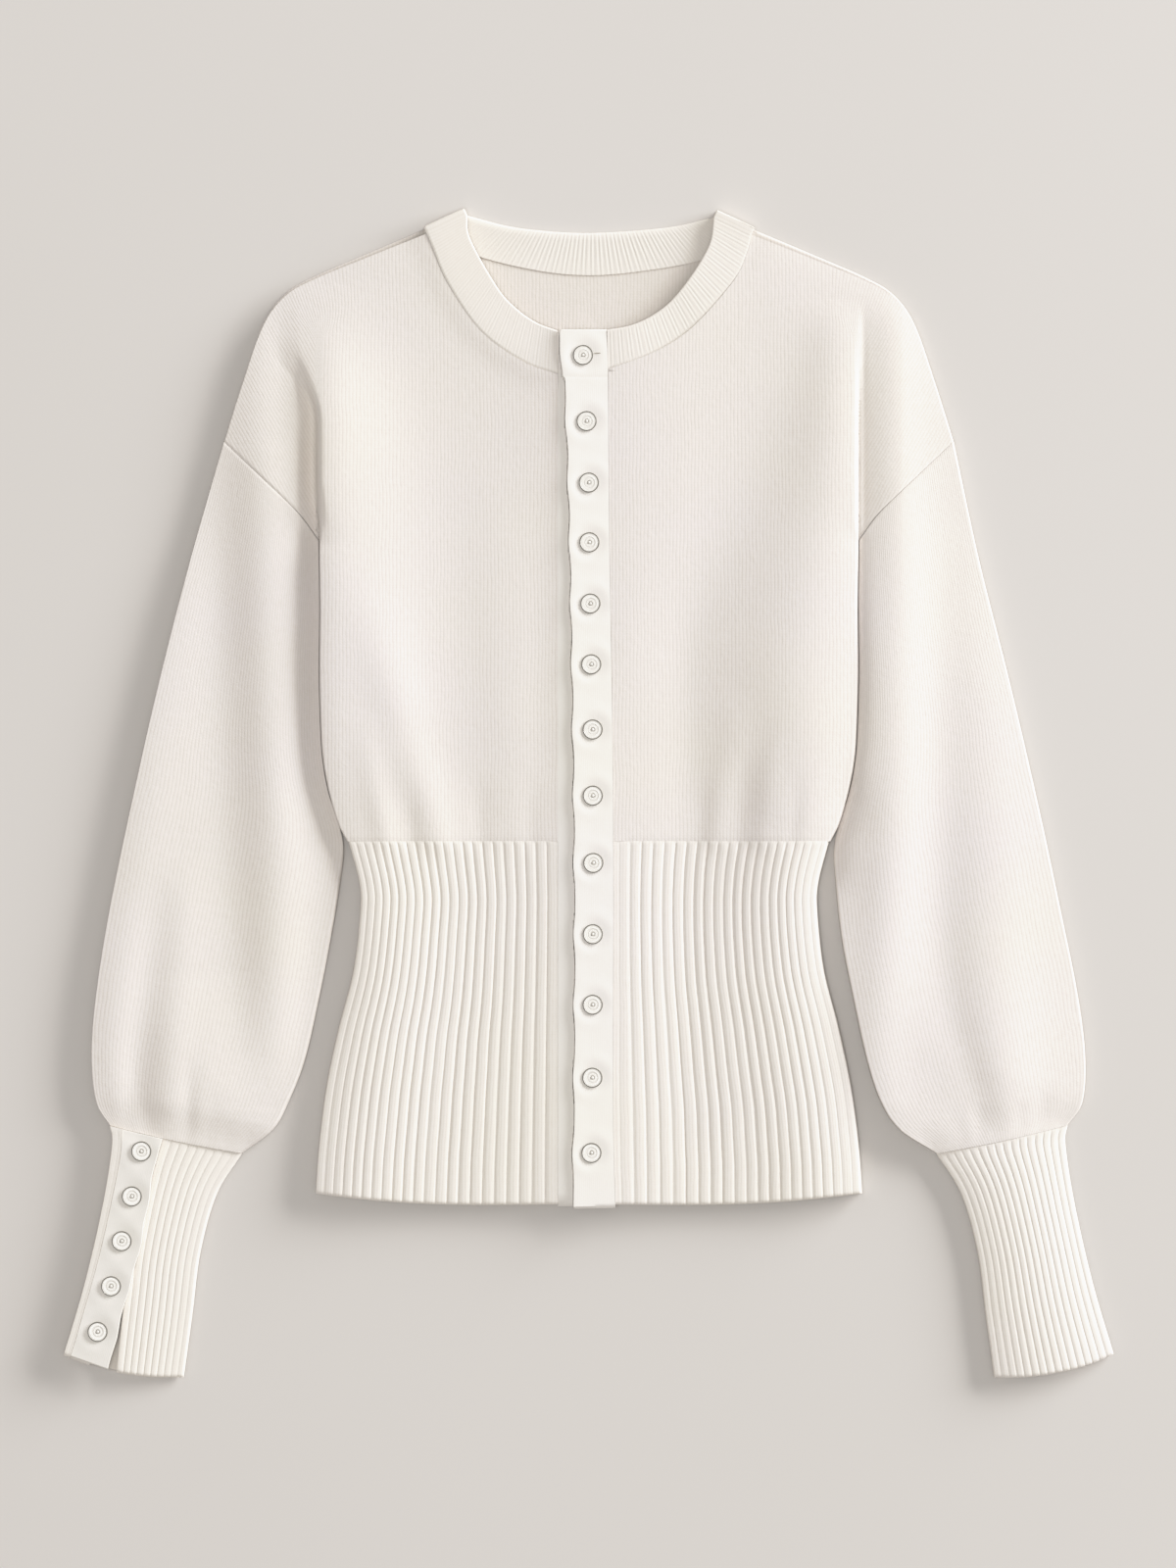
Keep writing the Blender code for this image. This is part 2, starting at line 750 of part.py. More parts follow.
def sleeve(side, mat):
    """A balloon sleeve, open at the armhole and at the cuff."""
    sign, _ = side_of(side)
    inner_edge = Curve(SLEEVE_INNER, sign)
    outer_edge = Curve(SLEEVE_OUTER[side], sign)
    armhole = Curve(ARMHOLE_SEAM, sign)
    cuff_seam = Curve(CUFF_JOIN[::-1], sign)
    armhole_gap = Vector((sign, -1)) * CURVED_GAP / 2

    def plan(u, t):
        p = coons(inner_edge.at, outer_edge.at, armhole.at, cuff_seam.at, u, t)
        return p + armhole_gap * (1 - t)

    def face_row(t, inset):
        return tube_row(
            plan, t, lambda p, u: height(p) - inset, SLEEVE_COLUMNS, SLEEVE_BASE, inset, FOLD_RADIUS
        )

    rows = spaced(SLEEVE_ROWS, SLEEVE_ROW_EASE)
    outer = [face_row(t, 0.0) for t in rows]
    inner = [face_row(t, WALL) for t in rows]
    wall(f"sleeve_{side}", outer, inner, mat, closed=True)


def cuff_plan(sign):
    inner_edge, outer_edge = Curve(CUFF_INNER, sign), Curve(CUFF_OUTER, sign)
    seam, hem = Curve(CUFF_JOIN[::-1], sign), Curve(CUFF_HEM[::-1], sign)

    def plan(u, t):
        p = coons(inner_edge.at, outer_edge.at, seam.at, hem.at, u, t)
        return p - Vector((0, SEAM_GAP * 2 * (1 - t)))

    return plan


def cuff_left(mat):
    """A plain ribbed cuff, a flattened tube."""
    plan = cuff_plan(1)
    columns = rib_columns(RIBS_ON_CUFF)
    knots = list(range(0, len(columns), PLAIN_STEP))

    def face_row(t, shares, inset, top, depth):
        def top_z(p, u):
            return rib_height(u, RIBS_ON_CUFF, top, depth)

        return tube_row(plan, t, top_z, shares, CUFF_BASE, inset, RIB_FOLD_RADIUS)

    plain = [columns[k] for k in knots]
    rows = spaced(CUFF_ROWS)
    outer = [face_row(t, columns, 0.0, CUFF_TOP, RIB_DEPTH) for t in rows]
    inner = [face_row(t, plain, WALL, CUFF_TOP - RIB_UNDERSIDE, 0.0) for t in rows]
    base_knots = [len(columns) + i for i in range(len(CUFF_BASE) + 1)]
    wall("cuff_left", outer, inner, mat, knots + base_knots, closed=True)


def cuff_right(mat):
    """A ribbed cuff with its opening on top, under the cuff band."""
    plan = cuff_plan(-1)
    slit, lap = Curve(CUFF_SLIT), Curve(CUFF_UNDERLAP)
    near_columns, far_columns = rib_columns(RIBS_INSIDE_SLIT), rib_columns(RIBS_OUTSIDE_SLIT)

    def share_of(p, t):
        """Where a plan point lies across the cuff."""
        a, b = plan(0.0, t), plan(1.0, t)
        return (p - a).dot(b - a) / (b - a).length_squared

    def face_row(t, step, inset, top, depth):
        """From the slit over the inner edge, along the floor and back up to the slit."""
        width = (plan(1.0, t) - plan(0.0, t)).length
        trim = inset / width
        to_slit, to_lap = share_of(slit.at(t), t), share_of(lap.at(t), t)

        def ribbed(columns, count, low, high):
            row = []
            for u in columns[::step]:
                share = low + u * (high - low)
                to_fold = min(share, 1 - share) * width - inset
                p = plan(min(max(share, trim), 1 - trim), t)
                z = rib_height(u, count, top, depth)
                row.append((p.x, p.y, rolled(z, to_fold, RIB_FOLD_RADIUS - inset)))
            return row[::-1]

        floor = [plan(trim + u * (1 - 2 * trim), t) for u in CUFF_BASE[::-1]]
        return (
            ribbed(near_columns, RIBS_INSIDE_SLIT, 0.0, to_slit)
            + [(p.x, p.y, inset) for p in floor]
            + ribbed(far_columns, RIBS_OUTSIDE_SLIT, to_lap, 1.0)
        )

    rows = spaced(CUFF_ROWS)
    outer = [face_row(t, 1, 0.0, CUFF_TOP, RIB_DEPTH) for t in rows]
    inner = [face_row(t, PLAIN_STEP, WALL, CUFF_TOP - RIB_UNDERSIDE, 0.0) for t in rows]
    first_far = len(near_columns) + len(CUFF_BASE)
    knots = list(range(0, len(near_columns), PLAIN_STEP))
    knots += list(range(len(near_columns), first_far))
    knots += list(range(first_far, first_far + len(far_columns), PLAIN_STEP))
    wall("cuff_right", outer, inner, mat, knots)


# ---- Neckband ----
def neck_stations():
    """The band's seam edge, free edge and outward direction, in order round the neck.

    It starts at the right front's placket, turns under at the shoulder, crosses
    the back and comes up again on the left front.
    """
    front_z = NECK_TOP - WALL / 2
    back_z = WALL / 2

    def run(seam, edge, z, up, length):
        count = 2 * round(length / NECK_RIB_PITCH) + 1
        found = []
        for i in range(count):
            a, b = seam.at(i / (count - 1)), edge.at(i / (count - 1))
            found.append((Vector((*a, z)), Vector((*b, z)), Vector((0, 0, up))))
        return found

    def turn(a, b):
        across = (b - a).normalized()
        out = Vector((-across.y, across.x)) * (1 if across.x > 0 else -1)
        middle = Vector((0, 0, (front_z + back_z) / 2))
        found = []
        for angle in NECK_TURN_ANGLES:
            w = math.radians(angle)
            up = Vector((out.x * math.sin(w), out.y * math.sin(w), math.cos(w)))
            shift = middle + up * NECK_TURN_RADIUS
            found.append((a.to_3d() + shift, b.to_3d() + shift, up))
        return found

    seam_right, edge_right = Curve(NECK_SEAM["right"]), Curve(NECK_EDGE["right"])
    seam_left, edge_left = Curve(NECK_SEAM["left"]), Curve(NECK_EDGE["left"])
    seam_back, edge_back = Curve(BACK_NECK_SEAM), Curve(BACK_NECK_EDGE)
    front_length = seam_right.length * NECK_FRONT_FULLNESS
    stations = run(seam_right, edge_right, front_z, 1, front_length)
    stations += turn(seam_right.at(1), edge_right.at(1))
    stations += run(seam_back, edge_back, back_z, -1, edge_back.length * NECK_BACK_FULLNESS)
    stations += turn(seam_left.at(1), edge_left.at(1))[::-1]
    stations += run(seam_left, edge_left, front_z, 1, front_length)[::-1]
    return stations


def neckband(mat):
    stations = neck_stations()
    last = len(stations) - 1
    turning = {i for i, (_, _, up) in enumerate(stations) if 0 < abs(up.x) + abs(up.y)}
    near_turn = {i + k for i in turning for k in (-1, 0, 1)}
    outer, inner, knots = [[], []], [[], []], []
    for i, (seam, edge, up) in enumerate(stations):
        groove = i % 2 == 1 and i not in turning and i < last and up.z > 0
        lift = up * (WALL / 2 - (NECK_RIB_DEPTH if groove else 0.0))
        outer[0].append(seam + lift)
        outer[1].append(edge + lift)
        if i in near_turn or i % NECK_PLAIN_STEP == 0 or i == last:
            knots.append(i)
            inner[0].append(seam - up * WALL / 2)
            inner[1].append(edge - up * WALL / 2)
    wall("neckband", outer, inner, mat, knots)


# ---- Bands and buttons ----
def band(name, left, right, top, rows, mat):
    """A flat band with rounded edges, lying between two plan curves."""
    outer, inner = [], []
    for t in spaced(rows):
        a, b = left.at(t), right.at(t)
        across = (b - a).normalized() * BAND_EDGE
        spots = (a, a + across, b - across, b)
        drops = (BAND_EDGE, 0, 0, BAND_EDGE)
        outer.append([(p.x, p.y, top - d) for p, d in zip(spots, drops)])
        inner.append([(p.x, p.y, top - WALL) for p in (a, b)])
    wall(name, outer, inner, mat, knots=[0, 3])


def under_band(mat):
    left_x, right_x = UNDER_BAND_EDGES
    top_y = BUTTON_BAND_LEFT[0].y + UNDER_BAND_RAISED
    hem_y = BUTTON_BAND_LEFT[-1].y + UNDER_BAND_RAISED
    left = Curve([Point(left_x, top_y), Point(left_x, hem_y)])
    right = Curve([Point(right_x, top_y), Point(right_x, hem_y)])
    band("under_band", left, right, PANEL_TOP, UNDER_BAND_ROWS, mat)


def button_band(mat):
    left, right = Curve(BUTTON_BAND_LEFT), Curve(BUTTON_BAND_RIGHT)
    band("button_band", left, right, BAND_TOP, BUTTON_BAND_ROWS, mat)


def cuff_band(mat):
    left, right = Curve(CUFF_BAND_LEFT), Curve(CUFF_BAND_RIGHT)
    band("cuff_band", left, right, CUFF_BAND_TOP, CUFF_BAND_ROWS, mat)


def buttons(mat):
    spots = {}
    for i, spot in enumerate(BUTTONS, 1):
        spots[f"front_button_{i:02d}"] = (spot, BAND_TOP + SEAM_GAP)
    for i, spot in enumerate(CUFF_BUTTONS, 1):
        spots[f"cuff_button_{i}"] = (spot, CUFF_BAND_TOP + SEAM_GAP)
    mesh = None
    for name, (spot, z) in spots.items():
        obj = linked(name, mesh) if mesh else button(name, mat)
        mesh = obj.data
        obj.location = to_metres(spot.x, spot.y, z)


def main():
    clear_scene()
    knit = material("ivory_knit", (0.87, 0.84, 0.79), 0.85)
    ribbed = material("ivory_rib", (0.86, 0.83, 0.77), 0.85)
    smooth_knit = material("ivory_band", (0.88, 0.85, 0.79), 0.8)
    pearl = material("pearly_button", (0.85, 0.84, 0.82), 0.3)

    back_panel(knit)
    waist_rib_back(ribbed)
    for side in ("right", "left"):
        front_panel(side, knit)
        waist_rib_front(side, ribbed)
        sleeve(side, knit)
    cuff_left(ribbed)
    cuff_right(ribbed)
    neckband(ribbed)
    under_band(smooth_knit)
    button_band(smooth_knit)
    cuff_band(smooth_knit)
    buttons(pearl)


main()
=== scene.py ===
"""Ivory knit button cardigan, laid out flat: the visual model over its CAD frame.

Plan curves and driving sizes repeat the part's own, in millimetres in the plane of
the surface. Each cloth piece is a closed shell on its solid's form, with its folds,
gathers, ribs and seams in the mesh, and with the knit as a bump in its material.
Right and left are the wearer's: the right half has the plan's negative x.
"""

import math

import bmesh
import bpy
import numpy as np
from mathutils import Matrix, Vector
from mathutils.bvhtree import BVHTree


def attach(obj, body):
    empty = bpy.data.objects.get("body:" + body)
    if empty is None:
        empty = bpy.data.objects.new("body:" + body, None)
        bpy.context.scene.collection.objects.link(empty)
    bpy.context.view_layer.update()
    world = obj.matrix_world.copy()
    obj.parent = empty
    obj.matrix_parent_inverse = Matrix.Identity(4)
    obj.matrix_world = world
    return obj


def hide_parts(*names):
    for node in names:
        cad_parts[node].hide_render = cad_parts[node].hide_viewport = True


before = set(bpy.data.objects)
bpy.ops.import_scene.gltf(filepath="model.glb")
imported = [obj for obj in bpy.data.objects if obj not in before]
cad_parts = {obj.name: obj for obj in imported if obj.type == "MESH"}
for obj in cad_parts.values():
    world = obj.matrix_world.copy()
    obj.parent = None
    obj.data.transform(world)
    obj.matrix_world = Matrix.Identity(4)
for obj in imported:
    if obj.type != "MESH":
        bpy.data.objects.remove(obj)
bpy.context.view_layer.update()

MM = 0.001
PLAN_SHIFT_Y = -0.783  # from the plan's origin to the frame's
SIDES = ("right", "left")
SIGN = {"right": -1, "left": 1}

# ---- Driving dimensions, in millimetres ----
WALL = 2.6
SEAM_GAP = 0.3
THREAD_GAP = 0.05
FOLD_Z = WALL + SEAM_GAP
PANEL_TOP = 8.2
WAIST_Y = -27.0
ARMPIT_X = 157.0
VALLEY_X = 156.9  # above the armpits, where the body folds down onto the sleeves
HEM_DROP = 6.4
RIBS_A_SIDE = 22
RIB_CROWDING = 0.2
RIBS_ON_CUFF = 16
RIBS_INSIDE_SLIT = 10
RIBS_OUTSIDE_SLIT = 4
NECK_CENTRE = (0.0, 330.0)
NECK_TOP = 8.4
NECK_RIB_PITCH = 2.5
NECK_SEAM_Y = 247.25  # the neck seam's height at the button band
NECK_JOIN_Y = 242.6  # where the neckband's own piece of the placket is sewn to the rest
BAND_TOP = PANEL_TOP + SEAM_GAP + WALL
UNDER_BAND_EDGES = (-17.885, 9.6)
FRONT_EDGE = {"right": -17.9, "left": 10.2}
TUBE_TURN = 1.9  # how high a sleeve's or a cuff's upper cloth turns under
SLEEVE_LENGTH = 400.0
CUFF_LENGTH = 135.0
CUFF_TOP = 7.6
CUFF_BAND_TOP = CUFF_TOP + SEAM_GAP + WALL

# ---- How folded edges turn ----
# the turn's radius, the reach of the slow rise behind it and the turn's share of the height
BODY_EDGE = {"right": (0.9, 9.0, 0.94), "left": (2.0, 9.0, 0.77)}
SHOULDER_EDGE = {"right": (0.7, 14.0, 0.9), "left": (1.0, 14.0, 0.66)}
WAIST_EDGE = {"right": (0.8, 9.0, 0.92), "left": (1.8, 9.0, 0.8)}
SLEEVE_EDGE = {"right": (0.5, 15.0, 0.9), "left": (1.1, 15.0, 0.74)}

# ---- Plan outlines of one half; the other half mirrors them ----
SIDE_FOLD = [
    (141, WAIST_Y), (146, -16.7), (151, 0.4), (154.3, 17.5),
    (155.8, 35), (156.8, 70), (156.5, 110), (157, 148),
]
ARMHOLE_SEAM = [(157, 148), (169, 164), (189.5, 183.8), (212.3, 205.5)]
SHOULDER_FOLD = [
    (212.3, 205.5), (201.5, 240), (189.5, 274), (177.3, 291),
    (161, 301), (131, 314), (95.8, 328.8),
]
RIB_SIDE_FOLD = [
    (140, WAIST_Y), (133.8, -51), (133.2, -68), (137.1, -102),
    (145.9, -136.5), (153, -170.5), (157.3, -205), (159.2, -232),
]
CUFF_JOIN = [(278.8, -192.4), (262, -196.6), (235, -202.6), (201.8, -208.8)]
SLEEVE_OUTER = {
    "right": [
        (212.3, 205.5), (231.9, 137), (249.4, 69), (264.9, 0.5), (279.2, -68),
        (287.1, -119), (289.4, -153.5), (286.6, -179), CUFF_JOIN[0],
    ],
    "left": [
        (212.3, 205.5), (227, 137), (244.1, 69), (260.1, 0.5), (274.9, -68),
        (285.1, -119), (289.1, -153.5), (287.4, -179), CUFF_JOIN[0],
    ],
}
BESIDE_BODY = [(x + 0.3, y) for x, y in SIDE_FOLD[:1:-1]] + [(143.2, -27)]
SLEEVE_INNER = {
    "right": BESIDE_BODY + [
        (144.6, -51), (150.2, -85), (156.9, -119), (164.8, -153.5), (174.2, -178),
        (183.6, -195), CUFF_JOIN[-1],
    ],
    "left": BESIDE_BODY + [
        (143.4, -51), (147, -85), (153.6, -119), (161.2, -153.5), (169.2, -178),
        (180.5, -195), CUFF_JOIN[-1],
    ],
}
CUFF_OUTER = [CUFF_JOIN[0], (277.5, -203.6), (282.8, -238), (293.3, -284), (305.6, -325.8)]
CUFF_INNER = [CUFF_JOIN[-1], (216.4, -232.4), (225.9, -266), (230.6, -302), (235.7, -339.2)]
CUFF_HEM = [(305.6, -325.8), (288.9, -332.5), (272.8, -336.4), (254, -339), (235.7, -339.2)]

# ---- The neck, which the overlap makes uneven ----
NECK_SEAM = {
    "right": [(-17.9, 244.4), (-38, 251.8), (-62.6, 269.5), (-81.6, 296.8), (-91, 318.4), (-94.2, 326.2)],
    "left": [(11.2, 247.4), (38.3, 257.5), (60, 271.6), (83.9, 298.5), (92, 315.1), (94.8, 325.6)],
}
NECK_EDGE = {
    "right": [(-17.9, 269.6), (-30.6, 274.6), (-42.6, 283.1), (-53.4, 295.4), (-68.8, 323), (-70.6, 337)],
    "left": [
        (10.7, 270.2), (22.9, 272.4), (34, 277), (45.2, 284.8), (54.9, 295.6), (64.4, 309.4), (70.6, 322),
        (72.4, 336),
    ],
}
BACK_NECK_SEAM = [
    (-94.2, 326.2), (-63.1, 313.9), (-28.9, 305.9), (0, 303.3),
    (30, 305.6), (65.7, 312.2), (94.8, 325.6),
]
BACK_NECK_EDGE = [(-70.6, 337), (-40.9, 329.9), (0, 327), (45.7, 330.2), (72.4, 336)]

# ---- Bands: left and right edges, from the neck to the hem ----
BUTTON_BAND_LEFT = [
    (-16.6, 270.4), (-14.3, 240), (-11.8, 171.4), (-9.5, 51.7),
    (-8.4, -68), (-8.8, -180), (-9.5, -241),
]
BUTTON_BAND_RIGHT = [
    (10.5, 270.4), (11.3, 240), (12.1, 143), (13.8, 40),
    (14.4, -60), (14.2, -180), (15.5, -240.4),
]
CUFF_BAND_LEFT = [(-271.3, -194.75), (-273, -214.3), (-283.5, -263.8), (-296.5, -310.8), (-301.4, -326.8)]
CUFF_BAND_RIGHT = [(-247.6, -200.05), (-252, -214.3), (-260.6, -262.3), (-270, -297.1), (-279.2, -334.6)]
CUFF_SLIT = [(-252.5, -197.4), (-257, -215), (-266, -262), (-270.3, -297.5), (-274.7, -336)]
CUFF_UNDERLAP = [(-262, -195.6), (-265, -214.5), (-274.5, -263), (-284, -306), (-290, -331.6)]
BUTTONS = [
    (-3.3, 255.4), (-1.2, 217), (0.1, 181.3), (0.4, 146.6), (1, 111), (1.5, 75.7), (2.3, 37.8),
    (2.4, -0.6), (2.7, -39.7), (2.4, -81.1), (2.3, -122.1), (2.1, -164.5), (1.6, -208.2),
]
CUFF_BUTTONS = [(-260, -207.3), (-265.5, -233.5), (-271.4, -259.5), (-277.6, -285.7), (-285.4, -312.2)]

# ---- Folds: points along each, with its half width and its rise there ----
BODY_SWELLS = [
    # right: the fullness that stands highest at the side and falls towards the placket
    [(-152, 298, 22, 0), (-151, 270, 30, 1.5), (-151, 217, 36, 6), (-151, 166, 42, 6.9),
     (-150, 120, 46, 7.2), (-150, 75, 49, 7.1), (-147, 29, 48, 5.7), (-138, -17, 44, 3.7), (-126, -60, 38, 3.4),
     (-122, -120, 34, 3), (-134, -240, 34, 2.6)],
    [(-151, 276, 11, 0), (-151.5, 250, 14, 0.5), (-151.5, 217, 15, 0.7), (-151.5, 166, 15, 0.6),
     (-151.5, 120, 14, 0.5), (-151.5, 75, 13, 0.4), (-150, 29, 12, 0.3), (-146, -5, 10, 0)],
    [(-54.6, 200, 20, 0), (-51.7, 120, 19, 0.7), (-48.9, 51.7, 17, 0.8), (-46, -11, 14, 0.4),
     (-46, -40, 14, 0)],
    # left: the fullness towards the side and the hollow beside the placket
    [(146, 288, 14, 0), (145, 262, 18, 2), (143, 211, 25, 3.8), (138, 166, 32, 4.6), (129, 120, 38, 5.2),
     (123, 75, 40, 5.6), (124, 29, 36, 5.7), (121, -8, 31, 5.2), (116, -40, 30, 3.9), (116, -120, 28, 2.3),
     (130, -240, 28, 1.8)],
    [(90.8, 240, 24, 0), (76.5, 166, 24, -0.5), (65.1, 120, 22, -0.6), (59.4, 62, 17, -0.6),
     (57.7, 6, 14, -0.6), (56.6, -40, 13, -0.5), (58, -200, 13, -0.4)],
]
BODY_FOLDS = [
    [(-136, 136, 20, 0), (-124, 100, 18, 0.9), (-114, 65, 16, 1.6), (-105, 29, 15, 1.5), (-94, -5, 13, 1.8),
     (-88, -27, 11, 1.5)],
    [(-133, 50, 9, 0), (-127, 20, 9, 0.6), (-121, -10, 8, 1), (-118, -27, 7, 0.8)],
    [(-106, 10, 6, 0), (-104, -10, 6, -0.35), (-103, -27, 5, -0.4)],
    [(-66, 14, 8, 0), (-64, -6, 7, -0.4), (-63, -27, 6, -0.4)],
    [(-34, 16, 8, 0), (-33, -8, 7, -0.3), (-32, -27, 6, -0.4)],
    [(86, 60, 12, 0), (83, 30, 11, 0.6), (77, 0, 9, 0.8), (74, -27, 8, 0.6)],
    [(112, 50, 9, 0), (108, 30, 8.5, 0.25), (105, 6, 8, 0.6), (101.5, -27, 7, 0.5)],
    [(93, 30, 7, 0), (90.5, 10, 7, -0.2), (88.5, -27, 6, -0.35)],
    [(68, 12, 6, 0), (66, -10, 6, -0.3), (65, -27, 5.5, -0.3)],
    [(122, 16, 6, 0), (120.3, -4, 5.5, -0.4), (118, -27, 5, -0.4)],
]
# the sleeves' folds run on up over the shoulders, past the armhole seams
SLEEVE_FOLDS = [
    # right: inner ridge, long trough and outer ridge
    [(-194, 292, 12, 0), (-193, 262, 14, 0.9), (-191, 211, 17, 1.7), (-188.5, 188.5, 18, 2.6),
     (-187, 120, 19, 3.5), (-185.5, 63, 19, 3.7), (-183, 6, 19, 3.6), (-181, -51, 19, 3),
     (-182, -100, 18, 2.7), (-183, -140, 17, 2), (-184, -164, 16, 0.8), (-186, -182, 14, 0)],
    [(-216.5, 250, 12, 0), (-216, 194, 13, -0.4), (-215.9, 120, 14, -0.6), (-214.2, 51.7, 15, -0.6),
     (-212.5, -16.7, 15, -0.6), (-206.8, -85, 15, -0.7), (-203, -130, 14, -0.4), (-200, -160, 12, 0)],
    [(-236, 160, 18, 0), (-242.7, 120, 20, 1.1), (-251.2, 63, 21, 1.5), (-258, 6, 21, 1.7),
     (-263.8, -39.5, 20, 1.6), (-273, -108, 15, 1.3), (-277, -150, 12, 1), (-274, -178, 10, 0.5)],
    # the fullness above the cuff, its middle ridge and the gathers at the seam
    [(-232, -105, 32, 0), (-230, -140, 36, 1.8), (-226, -176, 38, 3.6), (-228, -200, 32, 2)],
    [(-236, -30, 14, 0), (-237, -62, 12, 0.7), (-239.5, -108, 12.6, 1), (-243, -153.5, 10.8, 1),
     (-245, -182, 8.4, 0.8), (-246, -199, 6, 0.4)],
    [(-250, -50, 11, 0), (-253, -78, 11, -0.4), (-260, -130.7, 10, -0.8), (-263, -168, 8.4, -1.1),
     (-259, -188, 6, -0.8), (-256, -198, 4.8, -0.5)],
    [(-231, -150, 6, 0), (-232, -168, 5, -0.4), (-233, -188, 4.6, -0.6), (-234, -202, 4, -0.4)],
    [(-216, -170, 6, 0), (-219, -186, 5.5, -0.25), (-222, -203, 4.8, -0.25)],
    [(-270, -168, 6, 0), (-268.5, -180, 5.4, -0.4), (-267, -195, 4.2, -0.3)],
    [(-209, -184, 6, 0), (-211, -194, 5.4, -0.2), (-212, -205, 4.8, -0.2)],
    # left
    [(179, 290, 12, 0), (177, 268, 14, 1.3), (177, 217, 15, 2), (177, 188.5, 16, 2.3),
     (179.5, 120, 18, 2.8), (179, 51.7, 18, 3), (177, -16.7, 18, 2.8), (173, -79, 17, 2.5),
     (170, -120, 17, 2.1), (168, -150, 16, 1.6), (171, -176, 13, 1)],
    [(207, 240, 12, 0), (209.3, 177, 14, -0.3), (209.3, 108.7, 16, -0.4), (207.6, 40.3, 16, -0.5),
     (205.9, -28, 15, -0.7), (206, -85, 14, -1), (211, -125, 13, -0.9), (221, -155, 11, -0.8),
     (231, -186, 9, -0.7), (236, -201, 6.2, -0.3)],
    [(222, 160, 22, 0), (226, 108.7, 23, 0.9), (233, 28.9, 24, 1.5), (236, -39.5, 25, 2.1),
     (236, -96.5, 25, 2.7), (238, -142, 25, 3.3), (241, -172, 22, 2.9), (244, -195, 16, 1.2)],
    [(266, -164, 6, 0), (264, -180, 5.6, -0.3), (262, -195, 4.4, -0.3)],
    [(225, -178, 5.6, 0), (226.5, -188, 5.2, -0.4), (228, -202, 4.4, -0.3)],
    [(250, -176, 5.6, 0), (251, -186, 5, -0.3), (251.5, -198, 4.4, -0.3)],
    [(212, -182, 6.2, 0), (215, -193, 5.6, -0.3), (217, -205, 4.4, -0.2)],
]


# ---- Curves ----
def catmull_rom(points, steps=14):
    """A smooth path through the points, with what they carry beside their place."""
    path = np.asarray(points, float)
    ends = np.vstack([2 * path[0] - path[1], path, 2 * path[-1] - path[-2]])
    t = (np.arange(steps) / steps)[:, None]
    found = [
        0.5 * (2 * b + (c - a) * t + (2 * a - 5 * b + 4 * c - d) * t**2 + (3 * b - a - 3 * c + d) * t**3)
        for a, b, c, d in zip(ends, ends[1:], ends[2:], ends[3:])
    ]
    return np.vstack(found + [path[-1:]])


def off_segment(spots, a, b):
    """How far along the segment from a to b the spots lie, 0 to 1, and how far off it."""
    d = b - a
    t = np.clip(((spots - a) @ d) / max(d @ d, 1e-9), 0, 1)
    return t, np.linalg.norm(spots - a - t[..., None] * d, axis=-1)


class Curve:
    """A smooth curve read by its share of the length, 0 to 1, in the plan."""

    def __init__(self, points, sign=1):
        self.path = catmull_rom(points) * np.array((sign, 1.0))
        steps = np.linalg.norm(np.diff(self.path, axis=0), axis=1)
        along = np.concatenate([[0.0], np.cumsum(steps)])
        self.length = along[-1]
        self.shares = along / self.length

    def at(self, share):
        return np.stack([np.interp(share, self.shares, self.path[:, k]) for k in (0, 1)], -1)

    def x_at(self, y):
        """The x of a curve that runs downwards, at the height y in the plan."""
        return np.interp(y, self.path[::-1, 1], self.path[::-1, 0])

    def distance(self, plan):
        return np.min([off_segment(plan, a, b)[1] for a, b in zip(self.path, self.path[1:])], axis=0)


def curves(sign, *outlines):
    """Curves for one half of the garment, or as they are drawn for a sign of 1."""
    return [Curve(points, sign) for points in outlines]


def eased_neck(points):
    """An outline round the neck, moved 0.1 mm away from its centre, square to itself."""
    path = np.asarray(points, float)
    along = np.vstack([path[1] - path[0], path[2:] - path[:-2], path[-1] - path[-2]])
    along /= np.linalg.norm(along, axis=1)[:, None]
    out = np.stack([-along[:, 1], along[:, 0]], -1)
    out *= np.sign(np.sum(out * (path - NECK_CENTRE), axis=1))[:, None]
    return path + out * 0.1


def coons(start, end, low, high, u, v):
    """The plan grid, rows v by columns u, between four edges that are functions of a share."""
    u2, v2 = u[None, :, None], v[:, None, None]
    across = start(v)[:, None] * (1 - u2) + end(v)[:, None] * u2
    along = low(u)[None] * (1 - v2) + high(u)[None] * v2
    (low_0, low_1), (high_0, high_1) = low(np.array([0.0, 1.0])), high(np.array([0.0, 1.0]))
    corners = (low_0 * (1 - u2) + low_1 * u2) * (1 - v2) + (high_0 * (1 - u2) + high_1 * u2) * v2
    return across + along - corners


def smooth(low, high, x):
    t = np.clip((x - low) / (high - low), 0, 1)
    return t * t * (3 - 2 * t)


def bell(x, width):
    return np.exp(-((x / width) ** 2))


def roll(distance, radius):
    q = np.clip(distance / radius, 0, 1)
    return np.sqrt(1 - (1 - q) ** 2)


def edge_shape(distance, radius, reach, share):
    """A folded edge: a tight turn of the cloth, then a slow rise to the panel's full height."""
    return share * roll(distance, radius) + (1 - share) * (1 - np.exp(-np.maximum(distance, 0) / reach))


def wobble(x, seed):
    """A smooth wander between about -1 and 1 along x, made of a few sines."""
    rng = np.random.default_rng(seed)
    total = 0.0
    for k in range(1, 5):
        total = total + np.sin(x * k * (1 + 0.3 * rng.random()) + rng.random() * 6.28) / k
    return total / 1.6


def shares_of(breaks):
    """Shares between 0 and 1 from (end, count) stretches, evenly spaced in each."""
    found, last = [0.0], 0.0
    for end, count in breaks:
        found += list(last + (end - last) * (np.arange(count) + 1) / count)
        last = end
    return np.array(found)


